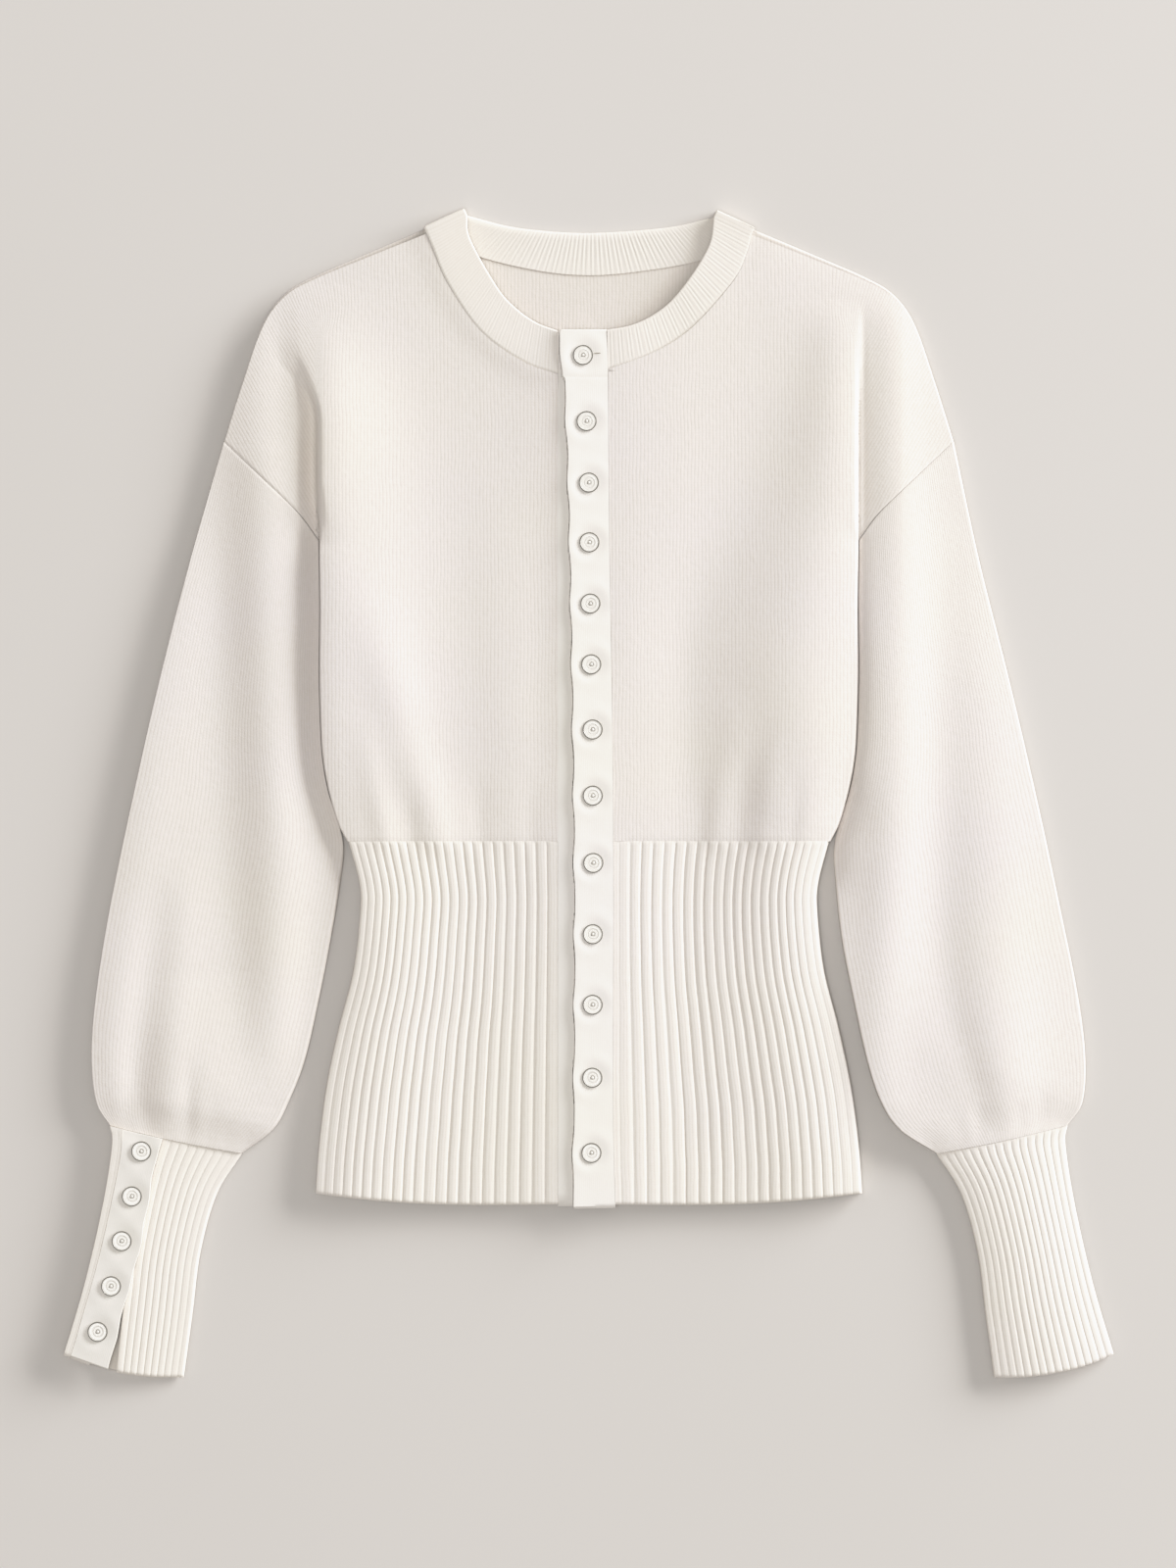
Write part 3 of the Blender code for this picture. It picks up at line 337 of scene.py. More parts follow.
BAND_EDGE_LEFT, BAND_EDGE_RIGHT = curves(1, BUTTON_BAND_LEFT, BUTTON_BAND_RIGHT)
CUFF_BAND_EDGE, CUFF_BAND_END = curves(1, CUFF_BAND_LEFT, CUFF_BAND_RIGHT)


# ---- Heights ----
def folds_over(plan, folds):
    """How far folds lift the plan: each by a bell across the nearest stretch of its line."""
    total = np.zeros(plan.shape[:-1])
    for fold in folds:
        rows = catmull_rom(fold, 5)
        margin = 3 * rows[:, 2].max()
        low, high = rows[:, :2].min(0) - margin, rows[:, :2].max(0) + margin
        near = np.all((plan > low) & (plan < high), axis=-1)
        spots = plan[near]
        nearest, rise = np.full(len(spots), 1e9), np.zeros(len(spots))
        for a, b in zip(rows, rows[1:]):
            t, gap = off_segment(spots, a[:2], b[:2])
            width, height = (a[2:] + (b[2:] - a[2:]) * t[:, None]).T
            closer = gap < nearest
            nearest = np.where(closer, gap, nearest)
            rise = np.where(closer, height * bell(gap, np.maximum(width, 2)), rise)
        total[near] += rise
    return total


def free_edge(gaps):
    """How far a band's free edge stands out, between -0.5 and 0.5, by its gaps to the buttons."""
    return np.max([bell(gap, 9.0) for gap in gaps], axis=0) - 0.5


def placket_edge(y):
    """How far the button band's left edge stands out from its plain line."""
    step = 1.0 * smooth(NECK_JOIN_Y - 0.6, NECK_JOIN_Y + 0.6, y)
    return free_edge([y - spot[1] for spot in BUTTONS]) * 1.1 + step


def beside_placket(plan):
    """How far the fronts rise to meet the button band, just outside its edges."""
    x, y = plan[..., 0], plan[..., 1]
    past_right = x - BAND_EDGE_RIGHT.x_at(y)
    outside = (past_right > 0.02) | ((y > 245.6) & (x > 8))
    # high up the rise keeps level for 3 mm, further down it is already falling at the edge
    begin, end = 3 - 14 * (1 - smooth(20, 90, y)), 48 + 45 * smooth(80, 180, y)
    right = (BAND_TOP - PANEL_TOP - 0.65) * outside * (1 - smooth(begin, end, past_right))
    past_left = BAND_EDGE_LEFT.x_at(y) - placket_edge(y) - x
    away = np.maximum(past_left, 0)
    left = smooth(0.1, 0.3, past_left) * (1.25 * np.exp(-away / 3.8) + 1.05 * bell(away, 34))
    return right + left


def follow_band(plan, shares, edge_share, last_y=1e9):
    """Moves a left front's columns so that one of them runs along the button band's right edge.

    The rows that end above last_y, at the neckline, keep theirs.
    """
    for row in plan:
        if row[-1, 1] > last_y:
            continue
        begin = np.argmax(shares > edge_share - 0.12)
        u = shares[begin:]
        knots = [u[0], edge_share - 0.0006, edge_share, 1.0]
        here = np.interp(knots, shares, row[:, 0])
        edge = BAND_EDGE_RIGHT.x_at(np.interp(edge_share, shares, row[:, 1]))
        there = [here[0], edge + 0.05, edge - 0.05, here[3]]
        row[begin:, 0] = np.interp(u, knots, there)


def arm_lean(x):
    """How far the left upper arm falls towards its outer edge."""
    return -0.055 * np.clip(x - 182.0, 0, 60)


def armhole_groove(armhole, plan):
    """How far the cloth is drawn in along the armhole's seam."""
    return 0.32 * bell(armhole.distance(plan), 0.7)


def body_height(plan):
    """The top of the bodice, without its edges."""
    x, y = plan[..., 0], plan[..., 1]
    side, right = np.abs(x), x < 0
    # the right fold that ends over the sleeve leans outwards as it dies into the shoulder
    past = side - VALLEY_X - right * 11.0 * smooth(216, 268, y)
    blend = right * 16.0 * smooth(225, 262, y)
    body = folds_over(plan, BODY_SWELLS + BODY_FOLDS) * smooth(17, 40, side) * (1 - smooth(0, 3 + blend, past))
    arm = (folds_over(plan, SLEEVE_FOLDS) + arm_lean(x)) * smooth(0, 6 + blend, past)
    top = PANEL_TOP + (body + arm + beside_placket(plan))
    # the valley above the armhole, where the body folds over the top of the sleeve
    above = right * smooth(150, 186, y)
    foot = past - 4.2 * above
    reach = 3.5 + (5.3 - 3.2 * above) * (1 - smooth(200, 268, y))
    deep = 1 - np.where(right, smooth(196, 262, y), smooth(212, 280, y))
    steep = np.exp(-np.maximum(past, 0) / 3.2)
    wall = 1 - edge_shape(-foot, 0.9 + 1.7 * smooth(144, 160, y), 8.0, 0.92)
    wall = wall + (bell(foot, 3.0) - wall) * above
    valley = np.where(foot > 0, np.where(right, bell(np.maximum(foot, 0), reach), steep), wall)
    floor = np.where(right, 3.4, 6.7)
    top = top - (top - floor) * np.clip(deep * valley, 0, 1) * smooth(140, 147, y)
    return top - 0.25 * bell(y - WAIST_Y, 1.2) * smooth(17, 24, side)


# ---- Making objects ----
def with_z(plan, z):
    """Points over a plan, at a height or at one for each of them."""
    return np.concatenate([plan, np.broadcast_to(z, plan.shape[:-1])[..., None]], -1)


def knit_grid(u, width, t, length):
    """Where the knit's columns and rows lie, in millimetres, over shares u across and t down."""
    return np.stack(np.broadcast_arrays(u[None] * width, -t[:, None] * length), -1)


def make_object(name, points, faces, uv, cloth, nodes, sharp=55):
    """An object in millimetres of the plan, with its cloth's material."""
    mat, slot = cloth
    points = np.asarray(points, float).reshape(-1, 3).copy()
    points[:, 1] += PLAN_SHIFT_Y
    mesh = bpy.data.meshes.new(name)
    mesh.from_pydata((points * MM).tolist(), [], faces)
    layer = mesh.uv_layers.new(name="Knit")
    corner = np.empty(len(mesh.loops), np.int32)
    mesh.loops.foreach_get("vertex_index", corner)
    layer.data.foreach_set("uv", np.asarray(uv, np.float32).reshape(-1, 2)[corner].ravel())
    bm = bmesh.new()
    bm.from_mesh(mesh)
    bmesh.ops.recalc_face_normals(bm, faces=bm.faces)
    bm.to_mesh(mesh)
    bm.free()
    mesh.materials.append(mat)
    mesh.shade_smooth()
    mesh.set_sharp_from_angle(angle=math.radians(sharp))
    obj = bpy.data.objects.new(name, mesh)
    bpy.context.scene.collection.objects.link(obj)
    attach(obj, "root")
    if nodes:
        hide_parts(*nodes)
    return obj


def quads(rows, cols, base, closed):
    r = np.arange(rows - 1)[:, None]
    c = np.arange(cols if closed else cols - 1)[None, :]
    n = (c + 1) % cols
    found = np.stack([r * cols + c, r * cols + n, (r + 1) * cols + n, (r + 1) * cols + c], -1)
    return (found.reshape(-1, 4) + base).tolist()


def tube(rows, cols):
    """The faces of closed rings, one row of points each, with a cap at both ends."""
    caps = [list(range(cols)), list(range((rows - 1) * cols, rows * cols))]
    return quads(rows, cols, 0, True) + caps


def shell(name, outer, inner, uv, cloth, nodes, row_step, col_step, closed=False):
    """A closed wall between a fine outer grid and a plainer inner one.

    The inner grid has a point under every row_step-th row and col_step-th column of
    the outer one, and under its last ones.
    """
    rows, cols = outer.shape[:2]
    row_knots = [*range(0, rows - 1, row_step), rows - 1]
    col_knots = [*range(0, cols, col_step)] if closed else [*range(0, cols - 1, col_step), cols - 1]
    kept = np.ix_(row_knots, col_knots)
    inside = inner[kept]
    in_rows, in_cols = inside.shape[:2]
    base = rows * cols
    faces = quads(rows, cols, 0, closed) + quads(in_rows, in_cols, base, closed)
    for row, in_row in ((0, 0), (rows - 1, in_rows - 1)):
        first = base + in_row * in_cols
        for j, (a, b) in enumerate(zip(col_knots, col_knots[1:] + [cols] * closed)):
            above = [row * cols + k % cols for k in range(a, b + 1)]
            faces.append(above + [first + (j + 1) % in_cols, first + j])
    if not closed:
        for col, in_col in ((0, 0), (cols - 1, in_cols - 1)):
            for j, (a, b) in enumerate(zip(row_knots, row_knots[1:])):
                above = [k * cols + col for k in range(a, b + 1)]
                faces.append(above + [base + (j + 1) * in_cols + in_col, base + j * in_cols + in_col])
    points = np.vstack([outer.reshape(-1, 3), inside.reshape(-1, 3)])
    both = np.vstack([uv.reshape(-1, 2), uv[kept].reshape(-1, 2)])
    return make_object(name, points, faces, both, cloth, nodes)


# ---- Materials ----
class Nodes:
    """A new material and short calls for the nodes in its tree."""

    def __init__(self, name):
        self.mat = bpy.data.materials.new(name)
        self.mat.use_nodes = True
        self.tree = self.mat.node_tree
        self.place = self.add("ShaderNodeTexCoord").outputs["Object"]

    def add(self, kind, **values):
        node = self.tree.nodes.new(kind)
        for key, value in values.items():
            setattr(node, key, value)
        return node

    def put(self, value, socket):
        """Sets a socket to a number or a colour, or links another node's output to it."""
        if isinstance(value, tuple):
            socket.default_value = (*value, 1.0)
        elif isinstance(value, (int, float)):
            socket.default_value = value
        else:
            self.tree.links.new(value, socket)

    def surface(self, sockets):
        for name, value in sockets.items():
            self.put(value, self.tree.nodes["Principled BSDF"].inputs[name])

    def math(self, operation, *values, clamp=False):
        node = self.add("ShaderNodeMath", operation=operation, use_clamp=clamp)
        for value, socket in zip(values, node.inputs):
            self.put(value, socket)
        return node.outputs[0]

    def line(self, base, value, by):
        """base + value * by"""
        return self.math("ADD", base, self.math("MULTIPLY", value, by))

    def noise(self, vector, scale, detail=2.0, roughness=0.5):
        node = self.add("ShaderNodeTexNoise")
        for name, value in (("Vector", vector), ("Scale", scale), ("Detail", detail), ("Roughness", roughness)):
            self.put(value, node.inputs[name])
        return node.outputs["Fac"]

    def mix(self, factor, a, b):
        node = self.add("ShaderNodeMix", data_type="RGBA")
        for index, value in ((0, factor), (6, a), (7, b)):
            self.put(value, node.inputs[index])
        return node.outputs[2]

    def split(self, vector):
        node = self.add("ShaderNodeSeparateXYZ")
        self.put(vector, node.inputs[0])
        return node.outputs


def srgb(r, g, b):
    """Linear colour of an 8-bit screen colour."""
    found = []
    for value in (r, g, b):
        c = value / 255
        found.append(c / 12.92 if c <= 0.04045 else ((c + 0.055) / 1.055) ** 2.4)
    return tuple(found)


def tinted(colour, *by):
    return tuple(c * k for c, k in zip(colour, by))


def knit_material(name, colour, shade, wale, course, depth, fuzz):
    """Fine plain knit: columns of V stitches, uneven from column to column, with a soft fuzz."""
    n = Nodes(name)
    across, down, _ = n.split(n.add("ShaderNodeUVMap", uv_map="Knit").outputs["UV"])
    # a slight wander keeps the columns from running ruler-straight
    drift = n.noise(n.place, 30.0)
    x = n.line(n.math("DIVIDE", across, wale), drift, 1.5)
    y = n.math("ADD", n.math("DIVIDE", down, course), drift)
    side = n.math("MULTIPLY", n.math("ABSOLUTE", n.math("SUBTRACT", n.math("FRACT", x), 0.5)), 2.0)
    crown = n.math("SUBTRACT", 1.0, n.math("POWER", side, 2.2))
    slant = n.line(y, side, 0.55)
    leg = n.line(0.5, n.math("SINE", n.math("MULTIPLY", slant, math.tau)), 0.5)
    stitch = n.line(n.math("MULTIPLY", crown, 0.8), leg, 0.2)
    # yarn thickness changes slowly along a column and freely from one to the next
    streak = n.add("ShaderNodeCombineXYZ")
    n.put(n.math("MULTIPLY", n.math("FLOOR", x), 0.731), streak.inputs[0])
    n.put(n.math("MULTIPLY", y, 0.06), streak.inputs[1])
    uneven = n.noise(streak.outputs[0], 5.0, 2.0, 0.6)
    hair = n.noise(n.place, 330.0, 5.0, 0.7)
    bump = n.add("ShaderNodeBump")
    bump.inputs["Distance"].default_value = depth * MM
    n.put(n.line(n.math("MULTIPLY", stitch, n.line(0.1, uneven, 1.3)), hair, fuzz), bump.inputs["Height"])
    # painted shade in the troughs between stitches, varied by the yarn's unevenness, and slow drifts between
    # cream and a cooler white
    troughs = n.math("SUBTRACT", 1.35, stitch)
    trough_shade_and_tone = n.math("MULTIPLY", troughs, n.math("MULTIPLY", n.math("ADD", uneven, hair), 0.45), clamp=True)
    drifted = n.math("MULTIPLY", n.math("SUBTRACT", n.noise(n.place, 7.0), 0.32), 2.6, clamp=True)
    base = n.mix(drifted, tinted(colour, 1.0, 0.985, 0.955), tinted(colour, 0.995, 0.975, 1.01))
    # painted shade: the colour turns greyer where the cloth turns straight down at an edge, darkening the gaps
    # between pieces and the light these walls throw onto the floor
    upwards = n.split(n.add("ShaderNodeNewGeometry").outputs["Normal"])[2]
    painted_wall_shade_mix = n.math("MULTIPLY", n.math("ADD", upwards, 0.05), 2.6, clamp=True)
    n.surface({
        "Base Color": n.mix(painted_wall_shade_mix, tinted(shade, 0.6, 0.6, 0.6), n.mix(trough_shade_and_tone, base, shade)),
        "Roughness": n.line(0.82, uneven, 0.12),
        "Normal": bump.outputs[0],
        "Sheen Weight": 0.12,
        "Sheen Roughness": 0.5,
        "Specular IOR Level": 0.2,
    })
    return n.mat


def mottled_material(name, noise, colours, sockets, rough=None):
    """A surface that wanders between two colours, and in roughness by rough's base and spread."""
    n = Nodes(name)
    cloud = n.noise(n.place, *noise)
    n.surface({"Base Color": n.mix(cloud, *colours), **sockets})
    if rough:
        n.surface({"Roughness": n.line(rough[0], cloud, rough[1])})
    return n.mat


KNIT = knit_material("ivory_knit", srgb(250, 246, 243), srgb(229, 221, 210), 2.1, 1.5, 0.075, 1.9), "knit"
# the knit's inside: a darker copy of the knit, its darkness painted shade for where it shows in the neck opening
SHADED_REVERSE = knit_material("ivory_knit_reverse_painted_shade", srgb(242, 237, 232), srgb(222, 214, 202), 2.1, 1.5, 0.075, 2.2)
RIB = knit_material("ivory_rib", srgb(252, 249, 244), srgb(236, 228, 216), 1.9, 1.5, 0.05, 0.9), "rib"
BAND = knit_material("ivory_band", srgb(255, 253, 248), srgb(252, 248, 241), 1.2, 1.0, 0.03, 0.9), "band"
# a pearly face, milk white with a faint slow play of colour
PEARL_COLOURS = (srgb(252, 249, 243), srgb(242, 238, 231))
PEARL_COAT = {"Coat Weight": 0.35, "Coat Roughness": 0.12}
FACE = mottled_material("button_pearl", (260.0, 3.0, 0.55), PEARL_COLOURS, PEARL_COAT, (0.22, 0.14)), "button"
# satin grey, with a little wear
RIM_COLOURS = (srgb(96, 93, 86), srgb(136, 132, 124))
RIM = mottled_material("button_rim", (700.0, 4.0, 0.6), RIM_COLOURS, {}, (0.26, 0.2))
THREAD_COLOURS = (srgb(158, 150, 136), srgb(196, 188, 174))
THREAD = mottled_material("buttonhole_thread", (1600.0, 3.0, 0.6), THREAD_COLOURS, {}, (0.7, 0.2)), "band"
FLOOR_COLOURS = (srgb(231, 227, 224), srgb(226, 222, 218))
FLOOR_FINISH = {"Roughness": 0.9, "Specular IOR Level": 0.1}
FLOOR = mottled_material("pale_floor", (1.6,), FLOOR_COLOURS, FLOOR_FINISH)


# ---- Fronts ----
def front(side):
    sign, edge_x = SIGN[side], FRONT_EDGE[side]
    waist_y = WAIST_Y - 0.2
    fold = Curve([(SIDE_FOLD[0][0] - 0.2, waist_y)] + SIDE_FOLD[1:], sign)
    armhole, shoulder = curves(sign, ARMHOLE_SEAM, SHOULDER_FOLD)
    placket = Curve([(edge_x, waist_y), (edge_x, NECK_SEAM[side][0][1] - 0.2)])
    neckline = Curve(eased_neck(NECK_SEAM[side]))
    waist = Curve([(fold.path[0][0], waist_y), (edge_x, waist_y)])
    split = 0.56  # the share of the rows below the armhole seam and the neckline

    def two(first, second, v, cut):
        """Up the first curve, then along the second to a cut before its end."""
        low = first.at(np.clip(v / split, 0, 1))
        high = second.at(np.clip((v - split) / (1 - split), 0, 1) * (1 - cut / second.length))
        return np.where((v <= split)[:, None], low, high)

    def grid(inset):
        cut = inset * 1.2

        def outwards(v):
            found = two(fold, armhole, v, cut)
            fade = np.where(v <= split, 1.0, np.clip(1 - (v - split) / 0.06, 0, 1))
            found[:, 0] -= sign * inset * fade
            return found

        def inwards(v):
            return two(placket, neckline, v, cut)

        def top(u):
            # the shoulder's fold, moved so that it ends on the two sides
            u = u[:, None]
            between = outwards(np.array([1.0]))[0] * (1 - u) + inwards(np.array([1.0]))[0] * u
            return between + shoulder.at(u[:, 0]) - shoulder.path[0] * (1 - u) - shoulder.path[-1] * u

        return coons(outwards, inwards, lambda u: waist.at(u + (1 - u) * inset / waist.length), top, u, v)

    at_band = 0.978  # where a column of the left front follows the button band
    u = shares_of([
        (0.004, 3), (0.016, 6), (0.05, 9), (0.45, 92), (0.9, 56), (0.9774, 16), (at_band, 1), (1.0, 5),
    ])
    v = shares_of([(0.02, 6), (0.25, 42), (split, 48), (0.95, 84), (0.985, 9), (0.996, 6), (1.0, 4)])
    outer, inner = grid(0.0), grid(WALL)
    if side == "left":
        follow_band(outer, u, at_band, NECK_SEAM_Y)
    y = outer[..., 1]
    z = body_height(outer)
    # where the sleeve lies against the body's edge, the cloth turns down no further than the sleeve
    against = FOLD_Z + (7.1 - FOLD_Z) * smooth(-12, 25, y) * (side == "left")
    z = against + (z - against) * edge_shape(fold.distance(outer), *BODY_EDGE[side])
    z = FOLD_Z + (z - FOLD_Z) * edge_shape(shoulder.distance(outer), *SHOULDER_EDGE[side])
    z -= armhole_groove(armhole, outer) * smooth(143, 156, y)
    # the panel meets the neckband's seam a little up or down
    at_neck = 0.7 if side == "right" else 0.1 - 0.5 * smooth(282, 315, y)
    z = np.maximum(z + at_neck * bell(neckline.distance(outer), 9.0), FOLD_Z)
    rolled_in = roll(fold.distance(inner) - WALL, 3.4) * roll(shoulder.distance(inner) - WALL, 6.4)
    z_in = np.maximum(FOLD_Z + (body_height(inner) - WALL - FOLD_Z) * rolled_in, FOLD_Z)
    # the wales lean outwards over the dropped shoulder
    wale = np.abs(outer[..., 0])
    spread = 2 + 24 * smooth(262, 288, y)
    uv = np.stack([wale - 0.55 * (y - 300) * smooth(-spread, spread, wale - ARMPIT_X), y], -1)
    return shell(f"knit_front_{side}", with_z(outer, z), with_z(inner, z_in), uv, KNIT, [f"front_{side}"], 5, 4)


# ---- Back ----
def slab(name, outline, cloth, nodes):
    """A flat panel on the floor with rounded edges."""
    along = np.roll(outline, -1, 0) - np.roll(outline, 1, 0)
    along /= np.maximum(np.linalg.norm(along, axis=1), 1e-9)[:, None]
    inward = np.stack([-along[:, 1], along[:, 0]], -1)
    x, y = outline.T
    inward *= np.sign(np.sum(x * np.roll(y, -1) - np.roll(x, -1) * y))
    half, radius = WALL / 2, 1.5
    angles = [math.radians(angle) for angle in np.linspace(-90, 90, 9)]
    rings = [with_z(outline + inward * (radius * (1 - math.cos(w))), half + half * math.sin(w)) for w in angles]
    points = np.vstack(rings)
    obj = make_object(name, points, tube(len(rings), len(outline)), points[:, :2], cloth, nodes)
    bm = bmesh.new()
    bm.from_mesh(obj.data)
    bmesh.ops.triangulate(bm, faces=[f for f in bm.faces if len(f.verts) > 4])
    bm.to_mesh(obj.data)
    bm.free()
    return obj


def back():
    shares = np.linspace(0, 1, 40)
    fold, *above = [curve.at(shares) for curve in curves(1, SIDE_FOLD, ARMHOLE_SEAM, SHOULDER_FOLD)]
    half = np.vstack([fold - (0.1, 0), *(points[1:] for points in above)])
    neck = Curve(eased_neck(BACK_NECK_SEAM)).at(np.linspace(1, 0, 60))
    obj = slab("knit_back", np.vstack([half, neck[1:-1], (half * (-1, 1))[::-1]]), KNIT, ["back"])
    # the cloth's inside faces up, in a darker copy of the knit whose darkness is painted shade inside the neck
    # opening
    obj.data.materials.append(SHADED_REVERSE)
    for polygon in obj.data.polygons:
        polygon.material_index = int(polygon.center.z > 0.9 * WALL * MM)
    return obj


def waist_rib_back():
    side = Curve(RIB_SIDE_FOLD).at(np.linspace(0, 1, 50)) - (0.1, 0)
    corner_x, corner_y = RIB_SIDE_FOLD[-1]
    x = np.linspace(150, -150, 30)
    hem = np.column_stack([x, corner_y - HEM_DROP * (1 - (x / corner_x) ** 2)])
    return slab("rib_back", np.vstack([side, hem, (side * (-1, 1))[::-1]]), RIB, ["waist_rib_back"])


# ---- Ribs ----
def rib_profile(phase):
    """Depth below the ridge top of wide rounded ribs with narrow grooves between them, 0 to 1."""
    off = np.abs(phase - np.floor(phase) - 0.5) * 2
    return 0.62 * off**4.5 + 0.38 * off**2


def rib_shares(count):
    """Ten shares to each rib, closer together where its grooves are."""
    step = np.linspace(0, 1, 11)[:-1]
    drawn = step - np.sin(step * math.tau) * 0.06
    return np.append(((np.arange(count)[:, None] + drawn) / count).ravel(), 1.0)


def waist_rib_front(side):
    sign = SIGN[side]
    top_y = WAIST_Y + 0.2
    length = top_y - (RIB_SIDE_FOLD[-1][1] - HEM_DROP)
    at_band = 0.9771  # where a column of the left front's ribs follows the button band
    u = rib_shares(RIBS_A_SIDE)
    u = np.insert(u, np.argmax(u > 0.977), (0.9765, at_band))
    t = shares_of([(0.03, 8), (0.12, 8), (0.97, 60), (1.0, 8)])
    down, to_hem = t[:, None] * length, (1 - t[:, None]) * length
    start = Curve(RIB_SIDE_FOLD, sign).at(t)
    end = np.stack([np.full_like(t, FRONT_EDGE[side]), top_y - length * t], -1)

    def grid(inset):
        crowded = (u * (1 - RIB_CROWDING) + u * u * RIB_CROWDING)[:, None]
        p = start[:, None] * (1 - crowded) + end[:, None] * crowded
        p[..., 0] -= sign * inset * (1 - u)
        p[..., 1] -= HEM_DROP * 0.5 * t[:, None] * np.sin(math.pi * u)
        return p

    plan, inner = grid(0.0), grid(WALL)
    # ribs wander a little, as a hand-laid hem does, and flatten at the side fold and the placket
    seed, flat = (3, 0.6) if side == "right" else (8, 0.45)
    plan[..., 0] += 0.35 * wobble(t * 9.0, seed)[:, None] * np.sin(math.pi * u)
    if side == "left":
        follow_band(plan, u, at_band)
    out = np.abs(plan[..., 0])
    gathers = folds_over(plan, BODY_FOLDS) * (1 - smooth(0, 22, down))
    top = PANEL_TOP + beside_placket(plan) + (folds_over(plan, BODY_SWELLS) + gathers) * smooth(17, 40, out)
    phase = u * RIBS_A_SIDE
    uneven = 1 + 0.16 * np.random.default_rng(5).standard_normal(RIBS_A_SIDE + 1)[phase.astype(int)]
    depth = 0.62 * uneven * smooth(12, 30, out) * (flat + (1 - flat) * smooth(0.02, 0.3, u))
    z = top - rib_profile(phase) * depth * smooth(0.0, 2.2, down) - 0.25 * bell(down, 1.0)
    z = z - 1.6 * (1 - roll(to_hem, 2.2))
    fold_x = start[:, None, 0]
    z = FOLD_Z + (z - FOLD_Z) * edge_shape(np.abs(plan[..., 0] - fold_x), *WAIST_EDGE[side])
    z_in = FOLD_Z + (PANEL_TOP - 1.5 - WALL - FOLD_Z) * roll(np.abs(inner[..., 0] - fold_x) - WALL, 3.4)
    name, uv = f"rib_front_{side}", knit_grid(u, 150.0, t, length)
    return shell(name, with_z(plan, z), with_z(inner, z_in), uv, RIB, [f"waist_rib_front_{side}"], 6, 10)


# ---- Sleeves ----
SLEEVE_LOW_U = np.array([0.998, 0.985, 0.96, 0.9, 0.7, 0.5, 0.3, 0.1, 0.04, 0.015, 0.002])
SLEEVE_LOW_Z = np.array([TUBE_TURN, 0.7, 0.1, 0.0, 0.0, 0.0, 0.0, 0.0, 0.1, 0.7, TUBE_TURN])


def sleeve(side):
    sign = SIGN[side]
    inner_edge, outer_edge = curves(sign, SLEEVE_INNER[side], SLEEVE_OUTER[side])
    armhole, cuff_seam = curves(sign, ARMHOLE_SEAM, CUFF_JOIN[::-1])
    u = shares_of([(0.004, 2), (0.02, 7), (0.1, 14), (0.9, 80), (0.98, 12), (0.996, 6), (1.0, 2)])
    t = shares_of([(0.01, 5), (0.1, 18), (0.88, 120), (0.97, 24), (1.0, 12)])

    def grid(shares, inset):
        trim = inset / 90.0  # by a sleeve's usual width
        shares = trim + shares * (1 - 2 * trim)
        plan = coons(inner_edge.at, outer_edge.at, armhole.at, cuff_seam.at, shares, t)
        return plan + np.array((sign, -1)) * THREAD_GAP * (1 - t[:, None, None])

    def top_z(plan, inset):
        x, y = plan[..., 0], plan[..., 1]
        to_cuff, to_in, to_out = (edge.distance(plan) for edge in (cuff_seam, inner_edge, outer_edge))
        across = to_in / (to_in + to_out + 1e-6)
        # thinner than the body, and tilted a little: both sleeves fall towards the wearer's left
        settled = 1 - smooth(60, 190, y)
        tilt, lift = (4.6 - 2.2 * smooth(-110, -40, y), -1.0) if side == "right" else (-6.2, 0.5)
        z = PANEL_TOP + ((across - 0.5) * tilt + lift) * settled
        z = z + arm_lean(x) * (1 - settled) + folds_over(plan, SLEEVE_FOLDS)
        seam_z = cuff_level(side, plan, across) + 0.25
        z = seam_z + (z - seam_z) * (0.35 + 0.65 * smooth(-5, 22, to_cuff))
        # beside the body the sleeve comes up out of the valley under the body's fold
        beside = smooth(-66, -20, y)
        low = FOLD_Z * beside + TUBE_TURN * (1 - beside)
        if side == "right":
            radius, share = 2.0, 0.9
            shallow = 1 - smooth(-20, 60, y)
            valley = 1 - (0.92 - 0.42 * shallow) * bell(to_in, 8.8 + 3.0 * shallow)
        else:
            # it comes free of the body towards the waist
            radius, share = 0.8, 0.9 - 0.2 * smooth(-110, -40, y)
            deeper = 1 - smooth(-25, 18, y)
            valley = 1 - (z - 7.0 + 4.0 * deeper) / (z - low) * np.exp(-to_in / (3.2 + 3.0 * deeper))
        free = edge_shape(to_in - inset, radius, 14.0, share)
        outside = edge_shape(to_out - inset, *SLEEVE_EDGE[side])
        z = low + (z - low) * (valley * beside + free * (1 - beside)) * outside
        z -= armhole_groove(armhole, plan) + 0.1 * bell(to_cuff, 1.0)
        return np.maximum(z - inset, WALL + 0.15 if inset else TUBE_TURN)

    walls = []
    for inset in (0.0, WALL):
        top, low = grid(u, inset), grid(SLEEVE_LOW_U, inset)
        under = with_z(low, np.maximum(SLEEVE_LOW_Z, inset))
        walls.append(np.concatenate([with_z(top, top_z(top, inset)), under], 1))
    uv = knit_grid(np.concatenate([u, SLEEVE_LOW_U]), 118.0, t, SLEEVE_LENGTH)
    return shell(f"knit_sleeve_{side}", *walls, uv, KNIT, [f"sleeve_{side}"], 5, 4, closed=True)


# ---- Cuffs ----
CUFF_LOW_U = np.array([0.996, 0.97, 0.93, 0.8, 0.6, 0.4, 0.2, 0.07, 0.03, 0.004])
CUFF_LOW_Z = np.array([TUBE_TURN, 0.6, 0.05, 0.0, 0.0, 0.0, 0.0, 0.05, 0.6, TUBE_TURN])
CUFF_T = shares_of([(0.05, 8), (0.95, 70), (1.0, 9)])


